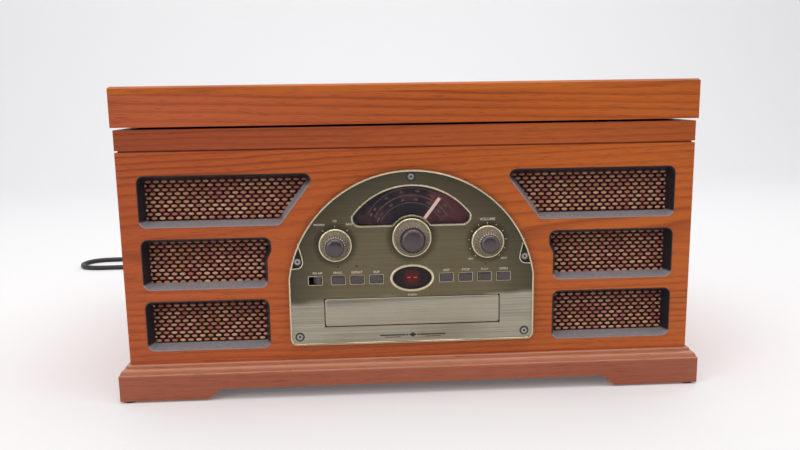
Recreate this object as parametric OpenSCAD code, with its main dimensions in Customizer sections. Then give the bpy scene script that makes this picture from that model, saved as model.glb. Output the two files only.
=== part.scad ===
// Table-top wooden radio and record player console: a lift-up lid over a belt-driven turntable, an arched
// metal control panel with a tuner dial and a disc drawer, and a loudspeaker behind each group of grille
// openings.
// Right-handed frame in millimetres: +Z up, the control panel faces -Y, and the feet stand on Z = 0.

/* [Cabinet] */
// Width of the cabinet body
body_w = 462; // [440:1:620]
// Depth of the cabinet body
body_d = 340; // [335:1:460]
// Height of the cabinet body between moulding and lid band
body_h = 172.5; // [168:0.5:230]
// Thickness of the front board
baffle_t = 10; // [8:0.5:12]
// Thickness of the side boards
side_t = 12; // [10:0.5:15]
// Thickness of the back board
back_t = 6; // [4:0.5:8]
// Width of the rabbet in the side boards that takes the back board
rabbet_w = 6; // [4:0.5:7]

/* [Base] */
// Height of a rubber pad
pad_h = 1.5; // [1:0.25:4]
// Radius of a rubber pad
pad_r = 6; // [5:0.5:6.5]
// Height of the bracket-foot boards
plinth_h = 20.7; // [18:0.1:40]
// Thickness of the bracket-foot boards
plinth_t = 14; // [14:0.5:16]
// How far the bracket feet stand out past the body
plinth_over = 8; // [7:0.5:10]
// Height of the base moulding
moulding_h = 8; // [7:0.5:10]
// Height of the cut-out between two bracket feet
arch_h = 8.3; // [6:0.1:12]
// Length of a bracket foot along the floor
foot_len = 69; // [50:1:90]
// Length of the curved slope at the end of a foot
foot_slope = 15; // [10:1:25]

/* [Lid and band] */
// Height of the fixed band under the lid
band_h = 17.5; // [16:0.5:30]
// Thickness of the band boards
band_t = 9; // [8:0.5:10]
// Height of the shadow groove at the foot of the band
groove_h = 1.4; // [1:0.1:2]
// Depth of the shadow groove
groove_d = 2; // [1:0.5:3]
// Gap between band and lid
lid_gap = 1.9; // [1.9:0.1:3]
// Height of the lid
lid_h = 31.4; // [31:0.2:60]
// How far the lid stands out past the band
lid_over = 1.5; // [1:0.5:2]
// Thickness of the lid's frame boards
lid_t = 12; // [10:0.5:13]
// Thickness of the lid's top board
lid_top_t = 6; // [4:0.5:7]
// Radius of the hinge barrels
barrel_r = 2; // [2:0.1:2.1]
// Length of the lid stay arm between its two pins
stay_len = 110; // [100:1:112]

/* [Grille openings] */
// Wood left between an opening and the cabinet's edge
opening_edge = 15.2; // [14:0.2:25]
// Wood left under the lowest opening
bottom_rail = 10.8; // [9:0.2:20]
// Wood left over the highest opening
top_rail = 18.8; // [12:0.2:30]
// Wood left between two openings
opening_bar = 9.95; // [8:0.05:15]
// Distance from the middle to the lowest openings
low_inner = 116.8; // [114:0.2:125]
// Distance from the middle to the middle openings
mid_inner = 113.3; // [112:0.2:125]
// Distance from the middle to the lower corner of the highest openings
top_inner = 102.7; // [102:0.1:120]
// How much nearer the middle the upper corner of the highest openings comes
top_lean = 22.8; // [10:0.1:24]
// Corner radius of the openings
opening_r = 5.5; // [4:0.5:7]
// How far the bevelled wall of an opening leans inwards
bevel = 3.3; // [2:0.1:3.5]

/* [Control panel] */
// Half the width of the metal faceplate
plate_hw = 100; // [98:0.5:104]
// Radius of the arch at the top of the faceplate
arch_r = 101; // [101:0.5:104]
// Height of the arch's centre above the faceplate's lower edge
arch_rise = 41.6; // [40:0.2:45]
// Wood left under the faceplate
plate_rail = 12.6; // [11:0.2:20]
// Thickness of the faceplate
plate_t = 1.4; // [1.2:0.1:2]
// Thickness of the black backing plate
backing_t = 1.8; // [1.6:0.1:2.5]
// How far the tuning knob reaches in front of the front board
knob_reach = 21; // [20:0.5:30]
// Radius of the tuning knob's ring
tuning_r = 16; // [14:0.5:17]
// Radius of the two small knobs' rings
small_r = 13.5; // [12:0.5:15]
// Radius of a knob's shaft
shaft_r = 3; // [2.5:0.1:3.2]
// Width of a push button
button_w = 10.7; // [9:0.1:12]
// Height of a push button
button_h = 6.8; // [5:0.1:8]
// Travel of a push button
button_travel = 1.2; // [0.8:0.1:1.3]

/* [Turntable] */
// Radius of the platter
platter_r = 100; // [95:1:105]
// Height of the platter
platter_h = 10; // [9:0.5:12]
// Radius of the record spindle
spindle_r = 3.55; // [3.5:0.01:3.6]
// Radius of the platter's drive ring
ring_r = 60; // [50:1:65]
// Radius of the motor pulley
pulley_r = 6; // [5:0.5:7]
// Height of the tonearm's centre line above the deck
arm_z = 25.3; // [24:0.1:26]
// Length from the tonearm's pivot to its stylus
arm_len = 196; // [185:1:200]

/* [Disc drawer] */
// Width of the drawer's front
door_w = 142.7; // [140:0.1:143]
// Height of the drawer's front
door_h = 23; // [20:0.5:24]
// Height of the drawer's lower edge above the faceplate's lower edge
door_rise = 15.4; // [14:0.2:16]
// Half the width of the disc tray
tray_hw = 66; // [63:0.5:66]
// Length of the disc tray behind its front
tray_len = 148; // [146:1:152]
// Travel of the disc tray
tray_travel = 130; // [100:1:132]
// Radius of the tray's recess for a disc
disc_r = 60.5; // [60.2:0.1:61]

/* [Loudspeakers] */
// Outer radius of a loudspeaker
speaker_r = 50; // [40:1:51]
// Depth of a loudspeaker
speaker_d = 46; // [40:1:60]

/* [Hidden] */
$fn = 64;
free = 0.3;    // gap between bodies that move past each other
running = 0.06; // radial clearance of a shaft in its bearing
overlap = 0.5; // how far joined shapes run into each other

// Heights, from the floor up
plinth_z = pad_h;
moulding_z = plinth_z + plinth_h;
body_z = moulding_z + moulding_h;
band_z = body_z + body_h;
lid_z = band_z + band_h + lid_gap;
lid_top_z = lid_z + lid_h - lid_top_t;
deck_t = 4;
deck_z = band_z + deck_t;

// Places in depth: the front board's face is at front_y, and the origin is the middle of knobs and base
front_y = (knob_reach - body_d - plinth_over) / 2;
back_y = front_y + body_d;
half_w = body_w / 2;
inner_x = half_w - side_t;
base_hw = half_w + plinth_over;
screw_rise = 12;    // distance of the back board's end screws from its edges
back_screw_z = [body_z + screw_rise, body_z + body_h / 2, band_z - screw_rise];
vent_count = 12;
vent_pitch = 8;
vent_w = 3;
vent_x = -44;
vent_low = 128;
vent_high = 168;

// Lid hinge and stay
hinge_x = 150;
hinge_w = 40;
leaf_t = 1.2;
lower_leaf_h = 14;
upper_leaf_h = 20;
hinge_pin_r = 0.9;
knuckle_gap = 0.15;
hinge_y = back_y + lid_over + barrel_r;
hinge_z = band_z + band_h + lid_gap / 2;
stay_pin_up = 2.5;  // degrees that the stay's lid pin stands above the hinge line
track_down = 3;     // degrees that the track slopes down from the hinge line
stay_fold = stay_pin_up + track_down;
stay_pin_r = 2;
stay_arm_t = 1.5;
stay_arm_x = half_w - 13.6;
track_t = 2.7;
track_half = 3.1;
track_near = 66;    // distance from the hinge line to the rear end of the slot
track_far = 2 * stay_len * cos(stay_fold);
stay_pin_y = hinge_y - stay_len * cos(stay_pin_up);
stay_pin_z = hinge_z + stay_len * sin(stay_pin_up);

// Grille openings
opening_h = (body_h - bottom_rail - top_rail - 2 * opening_bar) / 3;
opening_pitch = opening_h + opening_bar;
low_z = body_z + bottom_rail + opening_h / 2;
cloth_t = 1.2;
speaker_x = (low_inner + half_w - opening_edge) / 2 - 1.3;
speaker_z = low_z + opening_pitch;
rim_t = 3;

// Control panel: heights
plate_z = body_z + plate_rail;
arch_z = plate_z + arch_rise;
knob_z = arch_z + 46.4;
small_z = knob_z - 4.8;
small_x = 61.5;
window_z = knob_z + 10.4;
window_hw = 47;
window_arc_r = 58.5;
window_arc_z = knob_z - 16.9;
bump_r = 18.5;
button_z = arch_z + 12.5;
display_z = arch_z + 13;
door_z = plate_z + door_rise;
tray_z = door_z + 3.8;
tray_t = 9;
door_gap = 0.55;
plate_front = -backing_t - plate_t;
rim_h = 0.6;
rim_w = 1.3;
cut_in = 8;         // wood that the faceplate covers round the front board's cut-out
board_y = 20;
board_t = 1.6;
switch_gap = 1;     // from the board's face to the front of a tact switch
notch_screw_x = 92.3;
notch_screw_z = arch_z + 28.4;
low_screw_x = 92.4;
low_screw_z = plate_z + 7.3;
top_screw_z = arch_z + 95.5;
shank_r = 1.4;
head_r = 2.9;
head_h = 1;
button_x = [-59.9, -44.7, -28.9, 28, 43.8, 59.3, 74.9];
slot_x = -78.3;
slider_w = 4.2;
post_r = 2.5;
post_places = [[-82, button_z + 11], [82, button_z + 11], [-70, knob_z + 7], [70, knob_z + 7]];
scale_boss_x = 51;  // bosses of the backing plate that carry the dial scale
scale_boss_r = 2;
scale_y = 2.2;
display_hx = 16;    // half the width and height of the display's oval opening
display_hz = 9.5;

// Tuning gears: module, teeth and the direction from the knob shaft to the capacitor gear
gear_m = 1;
tuning_teeth = 24;
capacitor_teeth = 18;
gear_turn = -31;
gear_y = 8;
gear_w = 4;
gear_gap = gear_m * (tuning_teeth + capacitor_teeth) / 2;
capacitor_x = gear_gap * cos(gear_turn);
capacitor_z = knob_z + gear_gap * sin(gear_turn);
pointer_turn = 37;  // degrees clockwise from upright at rest
pointer_len = 38.5;

// Turntable
platter_x = -40;
platter_y = front_y + body_d / 2;
platter_z = deck_z + 3;
mat_t = 1.5;
web_t = 3;
pulley_turn = 225;
pulley_reach = 85;
pulley_x = platter_x + pulley_reach * cos(pulley_turn);
pulley_y = platter_y + pulley_reach * sin(pulley_turn);
belt_t = 1.2;
belt_z0 = platter_z + 1.8;
belt_z1 = platter_z + platter_h - web_t - 1.2;
motor_r = 18;
motor_h = 23;
arm_x = half_w - 81;
arm_y = back_y - 78;
arm_axis_z = deck_z + arm_z;
arm_tube_r = 3.5;
rest_y = arm_y - 132;
speed_x = arm_x + 38;
speed_y = front_y + 74;
cue_x = arm_x + 19;
cue_z = deck_z + 9.5;
cue_pin_r = 1.5;

// Disc drawer
tray_y = plate_front + 1.8;
disc_y = tray_y + 76;
rack_m = 1;
pinion_teeth = 16;
pinion_r = rack_m * pinion_teeth / 2;
rack_line = tray_hw + 1.2 * rack_m;
pinion_x = -rack_line - pinion_r;
pinion_y = 16;
pinion_w = 5;
loader_hw = tray_hw + 20;
loader_t = 1.6;
loader_y = 3;
loader_len = 182;
loader_floor = tray_z - 8;
floor_t = 2.5;
loader_h = 33;

// Sockets at the back and the board that carries them
jack_x = [96, 114, 132, 150];
jack_z = 62;
jack_r = 4.15;
fins = 6;
fin_pitch = 14;
fin_h = 25;

// Mains lead: its route at rest, from the strain relief to its coil
cord_d = 6.5;
cord_sides = 10;
relief_x = -150;
relief_z = 50;
relief_len = 30;
coil_x = -30;
coil_y = 262;
coil_r = 36;
coil_wide = 19.5;
coil_tall = 13;
rest_z = cord_d / 2 + 0.05;
plug_x = coil_x + coil_r + cord_d;
plug_y = coil_y + 25.5;
cord_route = [
    [-150, 206.5, 50], [-150, 217, 49], [-152, 229, 43], [-157, 241, 32], [-164, 253, 20],
    [-174, 265, 9], [-188, 277, rest_z], [-210, 291, rest_z], [-245, 306, rest_z], [-290, 320, rest_z],
    [-340, 328, rest_z], [-385, 330, rest_z], [-423, 330, rest_z], [-442, 338, rest_z], [-450, 357, rest_z],
    [-442, 376, rest_z], [-423, 384, rest_z], [-385, 385, rest_z], [-335, 384, rest_z], [-280, 380, rest_z],
    [-225, 372, rest_z], [-172, 360, rest_z], [-125, 342, rest_z], [-92, 318, rest_z], [-76, 298, rest_z],
    [-72.5, 286.3, rest_z]
];
cord_steps = 3;

// ---- Shared shapes -------------------------------------------------------------------------------------

// Puts children drawn with the front board's face at Y = 0 into the part's frame
module at_front() {
    translate([0, front_y, 0]) children();
}

// A flat piece drawn in X and Z, reaching from y0 to y1
module slab(y0, y1) {
    translate([0, y1, 0]) rotate([90, 0, 0]) linear_extrude(y1 - y0) children();
}

// A turned piece about a line along Y: the outline's first value is a radius and its second is Y
module turned_y(x, z) {
    translate([x, 0, z]) rotate([-90, 0, 0]) rotate_extrude() children();
}

// A turned piece about a line along Z
module turned_z(x, y) {
    translate([x, y, 0]) rotate_extrude($fn = 128) children();
}

// A round bar along Y
module bar_y(x, z, y0, y1, r) {
    translate([x, y0, z]) rotate([-90, 0, 0]) cylinder(r = r, h = y1 - y0);
}

// A round bar along X
module bar_x(x0, x1, y, z, r) {
    translate([x0, y, z]) rotate([0, 90, 0]) cylinder(r = r, h = x1 - x0);
}

// A block between two corners
module block(low, high) {
    translate(low) cube(high - low);
}

// A rectangle with rounded corners between two corners
module round_rect(low, high, r) {
    translate([low[0] + r, low[1]]) square([high[0] - low[0] - 2 * r, high[1] - low[1]]);
    translate([low[0], low[1] + r]) square([high[0] - low[0], high[1] - low[1] - 2 * r]);
    for (x = [low[0] + r, high[0] - r])
        for (y = [low[1] + r, high[1] - r])
            translate([x, y]) circle(r = r);
}

// A rectangle centred on the middle line
module centred(w, z0, z1) {
    translate([-w / 2, z0]) square([w, z1 - z0]);
}

// A spur gear's outline, with a tooth pointing at the angle turn; its teeth are slim so that they run free
module gear_outline(teeth, m, turn) {
    r = m * teeth / 2;
    root = r - 1.2 * m;
    tip = r + 0.8 * m;
    quarter = 90 / teeth;
    circle(r = root + 0.05);
    for (i = [0:teeth - 1])
        rotate(turn + i * 360 / teeth)
            polygon([
                [(root - 1) * cos(1.25 * quarter), -(root - 1) * sin(1.25 * quarter)],
                [root * cos(1.2 * quarter), -root * sin(1.2 * quarter)],
                [r * cos(0.8 * quarter), -r * sin(0.8 * quarter)],
                [tip * cos(0.35 * quarter), -tip * sin(0.35 * quarter)],
                [tip * cos(0.35 * quarter), tip * sin(0.35 * quarter)],
                [r * cos(0.8 * quarter), r * sin(0.8 * quarter)],
                [root * cos(1.2 * quarter), root * sin(1.2 * quarter)],
                [(root - 1) * cos(1.25 * quarter), (root - 1) * sin(1.25 * quarter)]
            ]);
}

// A cross-head screw seen from the front board: its head rests at y and its shank runs back
module screw_y(x, z, y, len) {
    difference() {
        bar_y(x, z, y - head_h, y, head_r);
        block([x - 1.8, y - head_h - 1, z - 0.35], [x + 1.8, y - head_h + 0.5, z + 0.35]);
        block([x - 0.35, y - head_h - 1, z - 1.8], [x + 0.35, y - head_h + 0.5, z + 1.8]);
    }
    bar_y(x, z, y - 0.2, y + len, shank_r);
}

// ---- Cabinet -------------------------------------------------------------------------------------------

// One bevelled opening: the centres of its corner rounds in X and Z
module opening_cut(corners) {
    hull()
        for (c = corners)
            translate([c[0], 0, c[1]]) rotate([-90, 0, 0])
                translate([0, 0, -0.01])
                    cylinder(r1 = opening_r, r2 = opening_r - bevel, h = baffle_t + 0.02, $fn = 32);
}

// The three openings of one side
module side_openings() {
    outer = half_w - opening_edge - opening_r;
    reach = opening_h / 2 - opening_r;
    top_z = low_z + 2 * opening_pitch;
    opening_cut([
        [outer, low_z - reach], [outer, low_z + reach],
        [low_inner + opening_r, low_z - reach], [low_inner + opening_r, low_z + reach]
    ]);
    opening_cut([
        [outer, speaker_z - reach], [outer, speaker_z + reach],
        [mid_inner + opening_r, speaker_z - reach], [mid_inner + opening_r, speaker_z + reach]
    ]);
    opening_cut([
        [outer, top_z - reach], [outer, top_z + reach],
        [top_inner + opening_r, top_z - reach], [top_inner + opening_r - top_lean, top_z + reach]
    ]);
}

// The step that narrows the lower half of the middle openings
module opening_step() {
    step = low_inner - mid_inner;
    low = speaker_z - opening_h / 2;
    translate([0, 0, low])
        linear_extrude(opening_h / 2 + 3)
            polygon([
                [mid_inner - 1, 0], [mid_inner + step, 0],
                [mid_inner + step + bevel, baffle_t], [mid_inner - 1, baffle_t]
            ]);
    slab(0, baffle_t)
        polygon([
            [mid_inner - 1, speaker_z + 2], [mid_inner + step, speaker_z + 2],
            [mid_inner, speaker_z + 9], [mid_inner - 1, speaker_z + 9]
        ]);
}

// The faceplate's outline, drawn in by inset
module arch_outline(inset) {
    intersection() {
        round_rect([-plate_hw + inset, plate_z + inset], [plate_hw - inset, plate_z + 300], 6);
        union() {
            translate([0, arch_z]) circle(r = arch_r - inset, $fn = 128);
            centred(2 * plate_hw + 10, plate_z - 10, arch_z);
        }
    }
}

module front_baffle() color("sienna") at_front() {
    difference() {
        block([-half_w, 0, body_z], [half_w, baffle_t, band_z]);
        side_openings();
        mirror([1, 0, 0]) side_openings();
        slab(-1, baffle_t + 1) arch_outline(cut_in);
        for (s = [-1, 1]) {
            bar_y(s * low_screw_x, low_screw_z, -1, baffle_t - 1, shank_r + 0.05);
            bar_y(s * notch_screw_x, notch_screw_z, -1, baffle_t - 1, shank_r + 0.05);
        }
        bar_y(0, top_screw_z, -1, baffle_t - 1, shank_r + 0.05);
    }
    opening_step();
    mirror([1, 0, 0]) opening_step();
}

module side_panel() {
    difference() {
        block([inner_x, baffle_t, body_z], [half_w, body_d, band_z]);
        block([inner_x - 1, body_d - back_t, body_z - 1], [inner_x + rabbet_w, body_d + 1, band_z + 1]);
        for (z = back_screw_z)
            bar_y(inner_x + rabbet_w / 2, z, body_d - back_t - 9, body_d, shank_r + 0.05);
    }
}

module side_panels() color("sienna") at_front() {
    side_panel();
    mirror([1, 0, 0]) side_panel();
}

module back_panel() color("#6b4630") at_front() {
    difference() {
        block(
            [-inner_x - rabbet_w + 0.2, body_d - back_t, body_z],
            [inner_x + rabbet_w - 0.2, body_d, band_z]
        );
        for (s = [-1, 1])
            for (z = back_screw_z)
                bar_y(s * (inner_x + rabbet_w / 2), z, body_d - back_t - 1, body_d + 1, shank_r + 0.1);
        for (x = jack_x)
            bar_y(x, jack_z, body_d - back_t - 1, body_d + 1, jack_r + free);
        bar_y(relief_x, relief_z, body_d - back_t - 1, body_d + 1, cord_d / 2 + 1.5);
        for (i = [0:vent_count - 1])
            block(
                [vent_x + vent_pitch * i, body_d - back_t - 1, vent_low],
                [vent_x + vent_pitch * i + vent_w, body_d + 1, vent_high]
            );
    }
}

module bottom_board() color("#8a5a3c") at_front() {
    block([-inner_x, side_t, moulding_z], [inner_x, body_d - side_t, body_z]);
}

// The cut-out between two bracket feet, reaching half_len to each side of the middle
module foot_arch(half_len) {
    steps = 8;
    polygon(concat(
        [[-half_len, plinth_z - 1]],
        [for (i = [0:steps]) [-half_len + foot_slope * i / steps,
            plinth_z + arch_h * (1 - cos(180 * i / steps)) / 2]],
        [for (i = [steps:-1:0]) [half_len - foot_slope * i / steps,
            plinth_z + arch_h * (1 - cos(180 * i / steps)) / 2]],
        [[half_len, plinth_z - 1]]
    ));
}

module plinth() color("#9c5a3c") at_front() {
    difference() {
        block([-base_hw, -plinth_over, plinth_z], [base_hw, body_d + plinth_over, moulding_z]);
        block(
            [-base_hw + plinth_t, -plinth_over + plinth_t, plinth_z - 1],
            [base_hw - plinth_t, body_d + plinth_over - plinth_t, moulding_z + 1]
        );
        slab(-plinth_over - 1, body_d + plinth_over + 1) foot_arch(base_hw - foot_len);
        translate([0, body_d / 2, 0]) rotate([0, 0, 90])
            slab(-base_hw - 1, base_hw + 1) foot_arch(body_d / 2 + plinth_over - foot_len);
    }
}

// One length of the base moulding along X, mitred at both ends, its inner edge at depth 0
module moulding_run(half_len, inner) {
    steps = 6;
    lip = 2.8;
    shelf = 0.75 * moulding_h;
    round_x = plinth_over - 1 - lip;
    intersection() {
        rotate([90, 0, 90])
            translate([0, 0, -half_len - plinth_over])
                linear_extrude(2 * (half_len + plinth_over))
                    polygon(concat(
                        [[inner, 0], [inner, moulding_h], [-lip + 0.5, moulding_h],
                            [-lip, moulding_h - 0.5], [-lip, shelf]],
                        [for (i = [0:steps]) [-lip - round_x * sin(90 * i / steps),
                            1.2 + (shelf - 1.6) * cos(90 * i / steps)]],
                        [[-plinth_over + 0.4, 1.2], [-plinth_over, 0.8], [-plinth_over, 0]]
                    ));
        linear_extrude(3 * moulding_h)
            polygon([
                [-half_len - plinth_over, -plinth_over], [half_len + plinth_over, -plinth_over],
                [half_len - inner, inner], [-half_len + inner, inner]
            ]);
    }
}

module base_moulding() color("#b06a48") at_front() translate([0, body_d / 2, moulding_z]) {
    for (a = [0, 180]) {
        rotate([0, 0, a]) translate([0, -body_d / 2, 0]) moulding_run(half_w, side_t);
        rotate([0, 0, a + 90]) translate([0, -half_w, 0]) moulding_run(body_d / 2, side_t);
    }
}

module rubber_feet() color("#222222") at_front()
    for (x = [-1, 1])
        for (y = [-plinth_over + plinth_t / 2, body_d + plinth_over - plinth_t / 2])
            translate([x * (base_hw - plinth_t / 2), y, 0]) cylinder(r = pad_r, h = pad_h);

module band_frame() color("#8f4a2b") at_front() {
    difference() {
        block([-half_w, 0, band_z], [half_w, body_d, band_z + band_h]);
        block([-half_w + band_t, band_t, band_z - 1], [half_w - band_t, body_d - band_t, lid_z]);
        difference() {
            block([-half_w - 1, -1, band_z - 1], [half_w + 1, body_d + 1, band_z + groove_h]);
            block(
                [-half_w + groove_d, groove_d, band_z - 2],
                [half_w - groove_d, body_d - groove_d, band_z + groove_h + 1]
            );
        }
    }
}

module grille_cloth() {
    slab(baffle_t, baffle_t + cloth_t)
        polygon([
            [inner_x - 1, body_z + 2], [inner_x - 1, band_z - 4],
            [top_inner - top_lean - 3, band_z - 4],
            [top_inner - top_lean - 3, low_z + 2 * opening_pitch + opening_h / 2 - 6],
            [top_inner - 4, low_z + 2 * opening_pitch - opening_h / 2 - 2], [top_inner - 4, body_z + 2]
        ]);
}

module grille_cloths() color("#4a1d1a") at_front() {
    grille_cloth();
    mirror([1, 0, 0]) grille_cloth();
}

// ---- Lid -----------------------------------------------------------------------------------------------

module lid_frame() color("#a1522a") {
    difference() {
        block(
            [-half_w - lid_over, front_y - lid_over, lid_z],
            [half_w + lid_over, back_y + lid_over, lid_top_z]
        );
        block(
            [-half_w - lid_over + lid_t, front_y - lid_over + lid_t, lid_z - 1],
            [half_w + lid_over - lid_t, back_y + lid_over - lid_t, lid_top_z + 1]
        );
        bar_x(half_w - lid_t, half_w - 5, stay_pin_y, stay_pin_z, stay_pin_r + running);
    }
}

module lid_top() color("#b5602f") {
    edge = 1.5;
    hull() {
        block(
            [-half_w - lid_over, front_y - lid_over, lid_top_z],
            [half_w + lid_over, back_y + lid_over, lid_top_z + lid_top_t - edge]
        );
        block(
            [-half_w - lid_over + edge, front_y - lid_over + edge, lid_top_z],
            [half_w + lid_over - edge, back_y + lid_over - edge, lid_top_z + lid_top_t]
        );
    }
}

// Knuckles of one hinge: every second one of five, from first
module knuckles(first, bore) {
    pitch = hinge_w / 5;
    for (i = [first:2:4])
        difference() {
            bar_x(-hinge_w / 2 + i * pitch + knuckle_gap, -hinge_w / 2 + (i + 1) * pitch - knuckle_gap,
                hinge_y, hinge_z, barrel_r);
            if (bore > 0)
                bar_x(-hinge_w, hinge_w, hinge_y, hinge_z, bore);
        }
}

module hinge_lower() {
    pitch = hinge_w / 5;
    knuckles(0, 0);
    bar_x(-hinge_w / 2, hinge_w / 2, hinge_y, hinge_z, hinge_pin_r);
    block(
        [-hinge_w / 2, back_y, hinge_z - lower_leaf_h],
        [hinge_w / 2, back_y + leaf_t, hinge_z - barrel_r]
    );
    for (i = [0:2:4])
        block(
            [-hinge_w / 2 + i * pitch + knuckle_gap, back_y, hinge_z - barrel_r - 0.6],
            [-hinge_w / 2 + (i + 1) * pitch - knuckle_gap, hinge_y + 0.4, hinge_z - barrel_r + 0.6]
        );
}

module hinge_upper() {
    pitch = hinge_w / 5;
    lid_back = back_y + lid_over;
    knuckles(1, hinge_pin_r + running);
    block(
        [-hinge_w / 2, lid_back, hinge_z + barrel_r + 0.4],
        [hinge_w / 2, lid_back + leaf_t, hinge_z + upper_leaf_h]
    );
    for (i = [1:2:3])
        difference() {
            block(
                [-hinge_w / 2 + i * pitch + knuckle_gap, lid_back, hinge_z],
                [-hinge_w / 2 + (i + 1) * pitch - knuckle_gap, lid_back + leaf_t, hinge_z + barrel_r + 1]
            );
            bar_x(-hinge_w, hinge_w, hinge_y, hinge_z, hinge_pin_r + running);
        }
}

module hinge_lower_leaves() color("#c9a24a")
    for (s = [-1, 1])
        translate([s * hinge_x, 0, 0]) hinge_lower();

module hinge_upper_leaves() color("#c9a24a")
    for (s = [-1, 1])
        translate([s * hinge_x, 0, 0]) hinge_upper();

// A flat bar with round ends along the track's line, between two distances in front of the hinge line
module track_bar(x0, x1, near, far, half) {
    translate([0, hinge_y, hinge_z]) rotate([track_down, 0, 0]) {
        block([x0, -far, -half], [x1, -near, half]);
        bar_x(x0, x1, -near, 0, half);
        bar_x(x0, x1, -far, 0, half);
    }
}

module stay_track() color("#c9a24a") {
    wall = half_w - band_t;
    difference() {
        track_bar(wall - track_t, wall, track_near, track_far + 4, track_half);
        track_bar(wall - track_t - 1, wall + 1, track_near + 2, track_far, stay_pin_r + 0.15);
    }
}

module stay_arm() color("#c9a24a") {
    wall = half_w - band_t;
    pin_reach = wall - 0.4;
    half = 4;
    x1 = stay_arm_x + stay_arm_t;
    translate([0, stay_pin_y, stay_pin_z]) rotate([stay_pin_up + 2 * track_down, 0, 0]) {
        block([stay_arm_x, -stay_len, -half], [x1, 0, half]);
        bar_x(stay_arm_x, x1, 0, 0, half);
        bar_x(stay_arm_x, x1, -stay_len, 0, half);
        bar_x(x1 - overlap, pin_reach, -stay_len, 0, stay_pin_r);
        bar_x(x1 - overlap, half_w - 6, 0, 0, stay_pin_r);
    }
}

// ---- Turntable -----------------------------------------------------------------------------------------

module deck() color("#1d1c1e") {
    wall = band_t + free;
    difference() {
        block([-half_w + wall, front_y + wall, band_z], [half_w - wall, back_y - wall, deck_z]);
        translate([pulley_x, pulley_y, band_z - 1]) cylinder(r = pulley_r + 2.5, h = deck_t + 2);
        // Channel beside the right wall for the lid stay
        block(
            [stay_arm_x - 1, hinge_y - track_far - 8, deck_z - 2.5],
            [half_w, hinge_y - track_near, deck_z + 1]
        );
    }
    // Rest that carries the tonearm beside the platter, open towards the platter
    block([arm_x - 5, rest_y - 4, deck_z - overlap], [arm_x + 9, rest_y + 4, arm_axis_z - arm_tube_r - 0.3]);
    block(
        [arm_x + arm_tube_r + 0.8, rest_y - 4, deck_z],
        [arm_x + 9, rest_y + 4, arm_axis_z + 3]
    );
}

module spindle() color("#c8c8cc") turned_z(platter_x, platter_y)
    polygon([
        [0, deck_z], [12, deck_z], [12, deck_z + 1.5], [spindle_r, deck_z + 1.5],
        [spindle_r, platter_z + platter_h + 9], [spindle_r - 1.2, platter_z + platter_h + 11.2],
        [0, platter_z + platter_h + 12]
    ]);

module platter() color("#2a2a2c") turned_z(platter_x, platter_y) {
    top = platter_z + platter_h;
    bore = spindle_r + running;
    polygon([
        [bore, deck_z + 1.5 + free], [10, deck_z + 1.5 + free], [10, top - web_t], [ring_r - 3, top - web_t],
        [ring_r - 3, platter_z + 1], [ring_r, platter_z + 1], [ring_r, top - web_t],
        [platter_r - 3, top - web_t], [platter_r - 3, platter_z], [platter_r, platter_z],
        [platter_r, top - 0.8], [platter_r - 0.8, top], [bore, top]
    ]);
}

module platter_mat() color("#161617") turned_z(platter_x, platter_y) {
    top = platter_z + platter_h;
    polygon([[5, top], [platter_r - 2, top], [platter_r - 2, top + mat_t], [5, top + mat_t]]);
}

module belt_outline(grow) {
    hull() {
        translate([platter_x, platter_y]) circle(r = ring_r + grow, $fn = 96);
        translate([pulley_x, pulley_y]) circle(r = pulley_r + grow, $fn = 32);
    }
}

module drive_belt() color("#101010")
    translate([0, 0, belt_z0])
        linear_extrude(belt_z1 - belt_z0)
            difference() {
                belt_outline(0.35 + belt_t);
                belt_outline(0.35);
            }

module motor_pulley() color("#d8d8dc") {
    turned_z(pulley_x, pulley_y)
        polygon([
            [0, deck_z - 4.5], [4, deck_z - 4.5], [4, belt_z0 - 0.3], [pulley_r, belt_z0 - 0.3],
            [pulley_r, belt_z1 + 0.3], [0, belt_z1 + 0.3]
        ]);
    translate([pulley_x, pulley_y, band_z - 8]) cylinder(r = 1.2, h = 10);
}

module drive_motor() color("#8b8d90")
    translate([pulley_x, pulley_y, 0])
        difference() {
            translate([0, 0, band_z - motor_h]) cylinder(r = motor_r, h = motor_h);
            translate([0, 0, band_z - 8.3]) cylinder(r = 1.2 + running, h = 9);
            translate([0, 0, band_z - 1]) cylinder(r = pulley_r, h = 2);
        }

module tonearm_mount() color("#1a1a1c") {
    stem_r = 9;
    difference() {
        union() {
            translate([arm_x, arm_y, deck_z]) cylinder(r = 24, h = 5);
            translate([arm_x, arm_y, deck_z]) cylinder(r = stem_r, h = 13);
            // Ears that carry the cue lever
            for (y = [-16, -10.4])
                translate([cue_x - 4, arm_y + y, deck_z + 4]) cube([8, 2.4, 9]);
        }
        translate([arm_x, arm_y, deck_z + 3]) cylinder(r = 3 + running, h = 20);
        bar_y(cue_x, cue_z, arm_y - 17, arm_y - 7, cue_pin_r + running);
    }
}

module cue_lever() color("#1a1a1c") {
    bar_y(cue_x, cue_z, arm_y - 16, arm_y - 8, cue_pin_r);
    bar_y(cue_x, cue_z, arm_y - 13.3, arm_y - 10.7, 2 * cue_pin_r);
    block([cue_x, arm_y - 13, cue_z - 1.2], [cue_x + 19, arm_y - 11, cue_z + 1.2]);
    bar_y(cue_x + 20, cue_z, arm_y - 15, arm_y - 9, 2.5);
}

module tonearm_pivot() color("#b9babd") {
    translate([arm_x, arm_y, deck_z + 3.3]) cylinder(r = 3, h = 12);
    translate([arm_x, arm_y, deck_z + 13 + free]) cylinder(r = 11, h = 4);
    for (s = [-1, 1])
        difference() {
            block(
                [arm_x + s * 9 - 1.5, arm_y - 5, deck_z + 16],
                [arm_x + s * 9 + 1.5, arm_y + 5, arm_axis_z + 4]
            );
            bar_x(arm_x - 20, arm_x + 20, arm_y, arm_axis_z, 1.5 + running);
        }
}

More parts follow.
